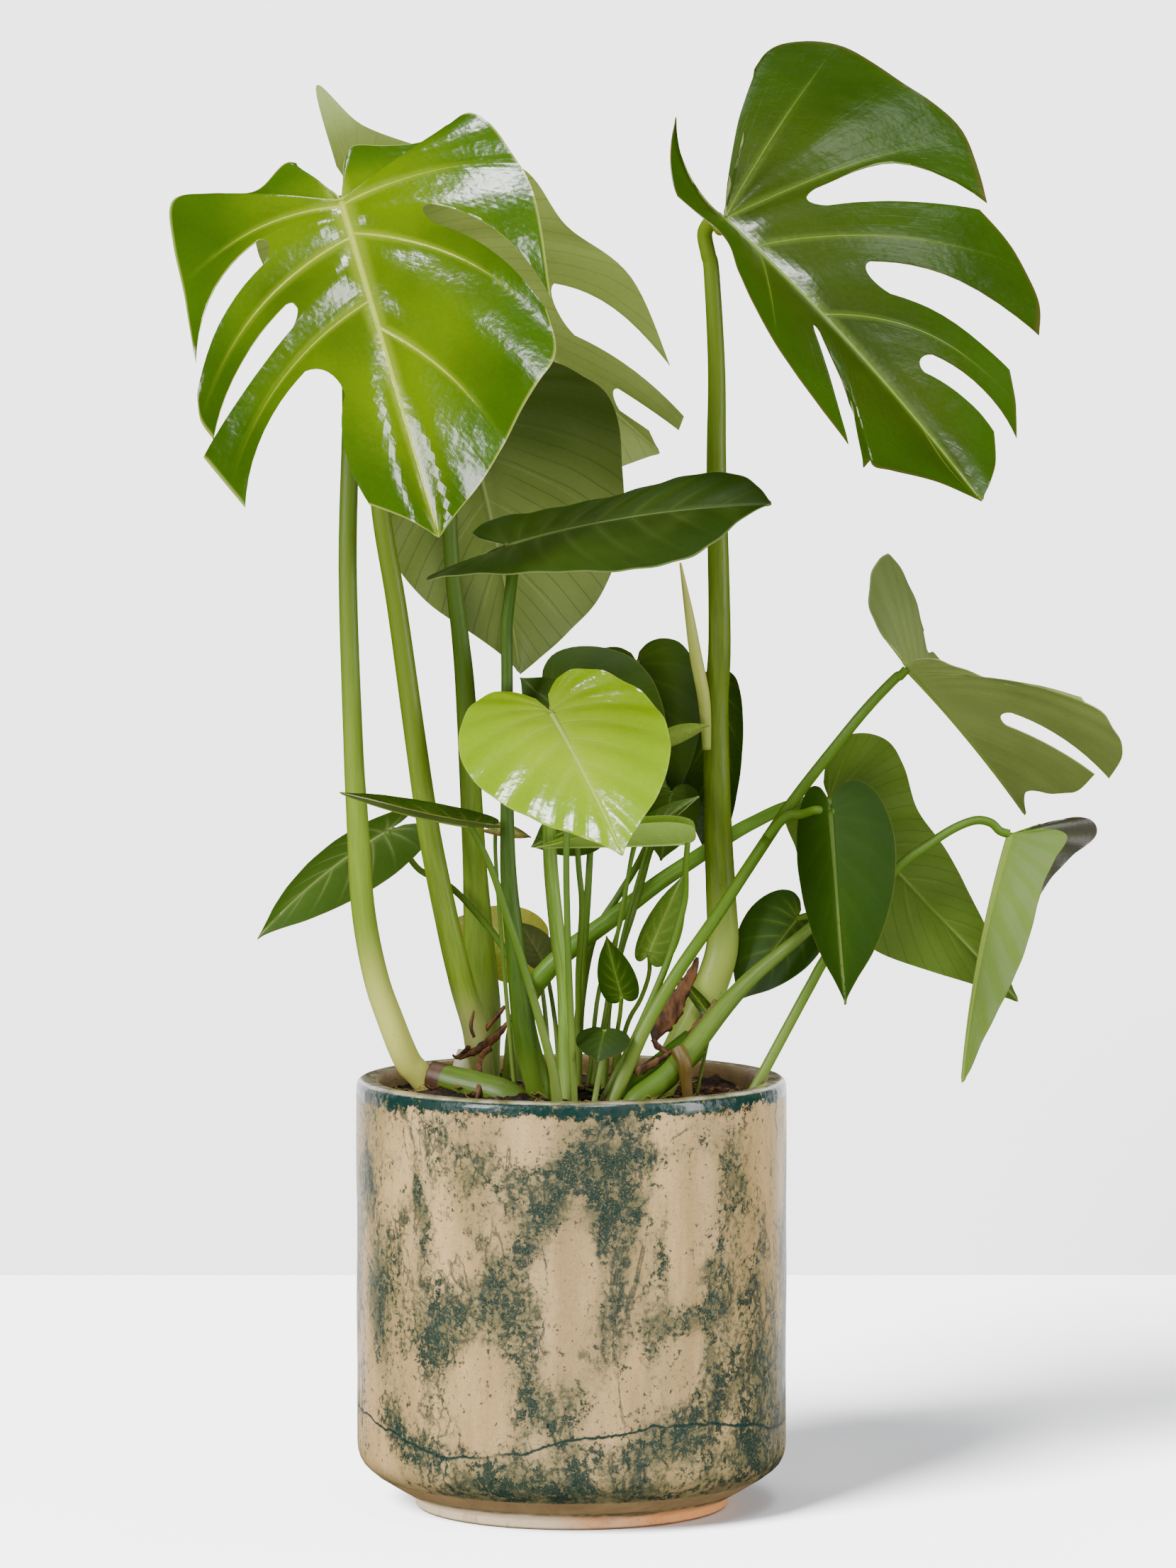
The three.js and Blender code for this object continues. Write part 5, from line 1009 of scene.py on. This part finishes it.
def potGlaze():
    tone = {key: srgb(code) for key, code in glaze.items()}
    f = Finish("potGlaze")
    height = f.axis("Z")
    streaks, tall = f.tall(0.2), f.tall(0.5)
    crumb = f.noise(300.0, 8.0, 0.8)
    patch = f.noise(14.0, 6.0, 0.65, tall, 0.8) - 0.5
    mass = f.attribute("blotch") + patch * 3
    colour = f.mix(f.band(f.noise(34.0, 5.0, 0.6, streaks) + (crumb - 0.5) * 0.5, 0.34, 0.66), tone["tan"],
                   tone["light"])
    colour = f.mix(f.band(mass + (crumb - 0.5) * 1.8, -0.3, 0.45) * 0.8, colour, tone["grey"])
    # crumbly green that thickens towards the middle of a blotch
    washed = f.band(mass + (crumb - 0.5) * 3.6, 0.15, 0.75)
    colour = f.mix(washed * 0.7, colour, tone["wash"])
    clump = f.band(mass + (crumb - 0.5) * 5 + (f.noise(75.0, 5.0, 0.6) - 0.5) * 4, 0.56, 0.86)
    colour = f.mix(clump * 0.92, colour, tone["teal"])
    # dark threads, broken by a second noise
    broken = f.band(f.noise(24.0, 3.0) + (crumb - 0.5) * 0.9, 0.44, 0.56)
    thread = f.threads(9.0, 0.016, tall, 2.0, 8.0) * broken
    finer = f.threads(30.0, 0.05, tall, 1.2, 8.0) * broken * f.band(mass, -0.1, 0.4)
    thread = f.maths("MAXIMUM", thread, finer)
    colour = f.mix(thread * 0.8, colour, tone["teal"])
    # fine crackle round the blotches
    warped = f.mix(0.025, tall, f.noise(45.0, 4.0, 0.6, out=1))
    cell = f.node("ShaderNodeTexVoronoi", {"feature": "DISTANCE_TO_EDGE"},
                  {"Vector": warped, "Scale": 110.0})
    crackle = (1 - f.band(cell, 0.03, 0.11)) * f.band(mass + (f.noise(32.0, 4.0) - 0.5) * 3, 0.1, 0.5)
    colour = f.mix(crackle * 0.75, colour, tone["teal"])
    drip = f.band(f.noise(120.0, 4.0, 0.6, f.tall(0.16)) + (crumb - 0.5) * 0.9, 0.64, 0.72)
    colour = f.mix(drip * 0.75, colour, tone["teal"])
    # fine grit all over
    grit = f.noise(900.0, 3.0, 0.7)
    colour = f.mix(f.band(grit, 0.52, 0.70) * 0.4, colour, tone["grey"])
    colour = f.mix(f.band(crumb, 0.56, 0.66) * 0.5, colour, tone["wash"])
    colour = f.mix(f.band(grit, 0.34, 0.46, 0.25, 0.0), colour, tone["light"])
    # one wavy crack line low on the wall
    swing = f.maths("SINE", f.axis("X") * 24 + 0.35)
    wander = f.noise(26.0, 7.0, 0.62, f.tall(0.02))
    offset = abs(height - (0.0655 + swing * 0.010 - f.band(f.axis("X"), -0.125, -0.06, 0.0, 0.012)
                           + (wander - 0.5) * 0.014 + (crumb - 0.5) * 0.004))
    line = f.band(f.noise(18.0), 0.30, 0.48)
    colour = f.mix((1 - f.band(offset, 0.0003, 0.0013)) * line, colour, tone["teal"])
    fringe = (1 - f.band(offset, 0.001, 0.010)) * f.band(crumb + (f.noise(30.0) - 0.5) * 0.5, 0.50, 0.64)
    colour = f.mix(fringe * 0.75, colour, tone["teal"])
    speck = f.band(f.noise(420.0, 2.0, 0.5, f.tall(0.6)), 0.69, 0.73)
    colour = f.mix(speck * 0.8, colour, tone["dark"])
    # the underside slope is washed teal, the foot is bare clay, its tan drawn paler as painted bounce light
    # from the floor
    slope = 1 - f.band(height + (crumb - 0.5) * 0.02, 0.012, 0.036)
    grimy = f.band(crumb + (f.noise(60.0, 4.0) - 0.5) * 0.8, 0.44, 0.56)
    colour = f.mix(slope * 0.8, colour, f.mix(grimy, tone["grey"], tone["teal"]))
    bare = 1 - f.band(height + (f.noise(30.0) - 0.5) * 0.006, 0.0075, 0.0105)
    warm = f.band(f.axis("X") + (f.noise(20.0, 4.0) - 0.5) * 0.1, -0.03, 0.05)
    colour = f.mix(bare, colour, f.mix(warm, tone["foot"], tone["clay"]))
    # painted contact shadow: the lowest two millimetres of the pot darkened
    colour = f.mix((1 - f.band(height, 0.0006, 0.0022)) * 0.7, colour, tone["dark"])
    # a teal band under the lip, which is pale on top
    ragged = (f.noise(60.0, 6.0, 0.75) - 0.5) * 0.022 + (crumb - 0.5) * 0.014
    band = f.band(height + ragged, 0.2402, 0.2418)
    stained = f.band(f.noise(130.0, 6.0, 0.75), 0.56, 0.66)
    colour = f.mix(band, colour, f.mix(stained, tone["teal"], tone["grey"]))
    lip = f.band(height + (crumb - 0.5) * 0.0016, 0.2484, 0.2493)
    colour = f.mix(lip, colour, f.mix(f.band(f.noise(60.0, 4.0), 0.35, 0.65), tone["lip"], tone["grey"]))
    radius = (f.axis("X") ** 2 + f.axis("Y") ** 2) ** 0.5
    inner = (1 - f.band(radius, 0.1132, 0.1145)) * f.band(height, 0.01, 0.012)
    colour = f.mix(inner, colour, f.mix(f.noise(50.0, 4.0), tone["inside"], tone["tan"]))
    relief = (grit * 0.25 + band * f.noise(260.0, 4.0) * 1.2 + f.noise(160.0, 5.0, 0.65) * 1.2
              + washed * 0.4 - speck * 0.6 - thread * 0.4)
    roughness = 0.24 + crumb * 0.24 - band * 0.2 - clump * 0.1 + bare * 0.4 + inner * 0.4
    coat = (0.12 + band * 0.4) * (1 - bare) * (1 - inner)
    return f.surface({"Base Color": colour, "Roughness": roughness, "Coat Weight": coat,
                      "Coat Roughness": 0.08, "Normal": f.bump(relief, 0.7, 0.0008)})


def turned(bm, profile, steps):
    verts = [bm.verts.new((r * mm, 0, z * mm)) for r, z in profile]
    for a, b in zip(verts, verts[1:]):
        bm.edges.new((a, b))
    bmesh.ops.spin(bm, geom=list(bm.verts) + list(bm.edges), cent=(0, 0, 0), axis=(0, 0, 1),
                   dvec=(0, 0, 0), angle=2 * math.pi, steps=steps, use_merge=True)
    bmesh.ops.remove_doubles(bm, verts=bm.verts, dist=0.01 * mm)
    bmesh.ops.recalc_face_normals(bm, faces=bm.faces)
    for face in bm.faces:
        face.smooth = True


def makePot():
    bm = bmesh.new()
    layer = bm.verts.layers.float.new("blotch")
    rows = []
    for (r, z), (r2, z2) in zip(pot["profile"], pot["profile"][1:]):
        parts = max(1, round(abs(z2 - z) / pot["rise"])) if min(r, r2) > pot["mouth"] else 1
        rows += [(r + (r2 - r) * i / parts, z + (z2 - z) * i / parts) for i in range(parts)]
    turned(bm, rows + [pot["profile"][-1]], pot["steps"])
    for vert in bm.verts:
        x, y, z = vert.co / mm
        radius = math.hypot(x, y)
        if radius > pot["glazed"]:
            vert[layer] = blotchAt(x, y, z)
        if radius > pot["wall"]:
            out = Vector((x, y, 0)).normalized()
            vert.co += out * noise.noise(Vector((x, y, z)) * 0.02) * pot["waves"] * mm
    return toObject(bm, "pot_form", [potGlaze()], ["pot"])


lightOnly("potOnly", potLamps, [makePot()])
lightOnly("glintOnly", [leafGlint], [bpy.data.objects["bright_heart_leaf_form"]])

soil = {"top": 238, "radius": 111.7, "steps": 180, "reach": 108, "chips": 420, "fibres": 160,
        "fibreRadius": 0.28, "fibreLift": 1.6, "fibreArch": 3, "seed": 7}


def soilHeight(x, y):
    return soil["top"] + 3 * (math.sin(x / 13 + 1) * math.cos(y / 11) + 0.6 * math.sin((x + 2 * y) / 17))


def soilFinish():
    f = Finish("soilMix")
    tint = f.attribute("tint")
    grain = f.noise(260.0, 6.0, 0.7)
    clods = f.band(f.noise(60.0, 5.0) + (grain - 0.5) * 0.6, 0.4, 0.65)
    colour = f.mix(clods, srgb("1E130C"), srgb("4A3020"))
    colour = f.mix(f.band(tint, 0.1, 0.4), colour, srgb("4E3018"))
    colour = f.mix(f.band(tint, 0.5, 0.75) * grain * 1.4, colour, srgb("8A5A30"))
    colour = f.mix(f.band(tint, 0.85, 1.0), colour, srgb("B08A58"))
    return f.surface({"Base Color": colour, "Roughness": 0.9, "Normal": f.bump(grain, 0.8, 0.001)})


# lumpy soil with bark chips and coir fibres lying on it
def makeSoil():
    bm = bmesh.new()
    tint = bm.verts.layers.float.new("tint")
    turned(bm, [(soil["radius"] * r / 100, soil["top"]) for r in range(101)], soil["steps"])
    for vert in bm.verts:
        x, y = vert.co.x / mm, vert.co.y / mm
        rough = noise.noise(Vector((x, y, 0)) * 0.12) * 2.6 + noise.noise(Vector((x, y, 5)) * 0.35) * 2
        vert.co.z = (soilHeight(x, y) + rough) * mm
    chance = random.Random(soil["seed"])

    def spot():
        turn, reach = chance.uniform(0, 2 * math.pi), soil["reach"] * math.sqrt(chance.random())
        x, y = reach * math.cos(turn), reach * math.sin(turn)
        return Vector((x, y, soilHeight(x, y)))

    for k in range(soil["chips"]):
        long, wide, high = chance.uniform(3, 9), chance.uniform(2, 4.5), chance.uniform(1, 2.6)
        made = bmesh.ops.create_icosphere(bm, subdivisions=1, radius=0.5)["verts"]
        shade = chance.uniform(0.15, 0.8)
        place = spot() + Vector((0, 0, chance.uniform(0.4, 3)))
        place.xy *= min(1, (soil["reach"] - 1 - long / 2) / max(1, place.xy.length))
        tilt = Matrix.Rotation(chance.uniform(0, math.pi), 3, "Z")
        tilt = tilt @ Matrix.Rotation(chance.uniform(-0.6, 0.6), 3, "Y")
        for vert in made:
            worn = 0.72 + 0.5 * chance.random()
            grown = Vector((vert.co.x * long, vert.co.y * wide, vert.co.z * high))
            vert.co = (place + tilt @ grown * worn) * mm
            vert[tint] = shade
    for k in range(soil["fibres"]):
        start = spot() + Vector((0, 0, 1.5))
        along = Vector((chance.uniform(-1, 1), chance.uniform(-1, 1), 0)).normalized()
        bend = Vector((-along.y, along.x, 0)) * chance.uniform(-5, 5)
        length = chance.uniform(8, 20)
        if (start + along * length).xy.length > soil["reach"]:
            along = -along
        ring = []
        for step in range(7):
            u = step / 6
            centre = start + along * length * u + bend * (4 * u * (1 - u))
            arch = soil["fibreArch"] * math.sin(math.pi * u) * chance.random()
            centre.z = soilHeight(centre.x, centre.y) + soil["fibreLift"] + arch
            side = Vector((-along.y, along.x, 0))
            ring.append([])
            for a in (0, 2.1, 4.2):
                out = side * math.cos(a) + Vector((0, 0, math.sin(a)))
                ring[-1].append(bm.verts.new((centre + out * soil["fibreRadius"]) * mm))
            for vert in ring[-1]:
                vert[tint] = 1
        for low, high in zip(ring, ring[1:]):
            for i in range(3):
                bm.faces.new((low[i], low[(i + 1) % 3], high[(i + 1) % 3], high[i]))
        bm.faces.new(ring[0])
        bm.faces.new(ring[-1])
    bmesh.ops.recalc_face_normals(bm, faces=bm.faces)
    for face in bm.faces:
        face.smooth = True
    toObject(bm, "soil_form", [soilFinish()], ["soil"])


makeSoil()
lightOnly("plantOnly", [rearFill], [piece for piece in scene.objects if piece.name.endswith("_form")])
print("pot and soil made")
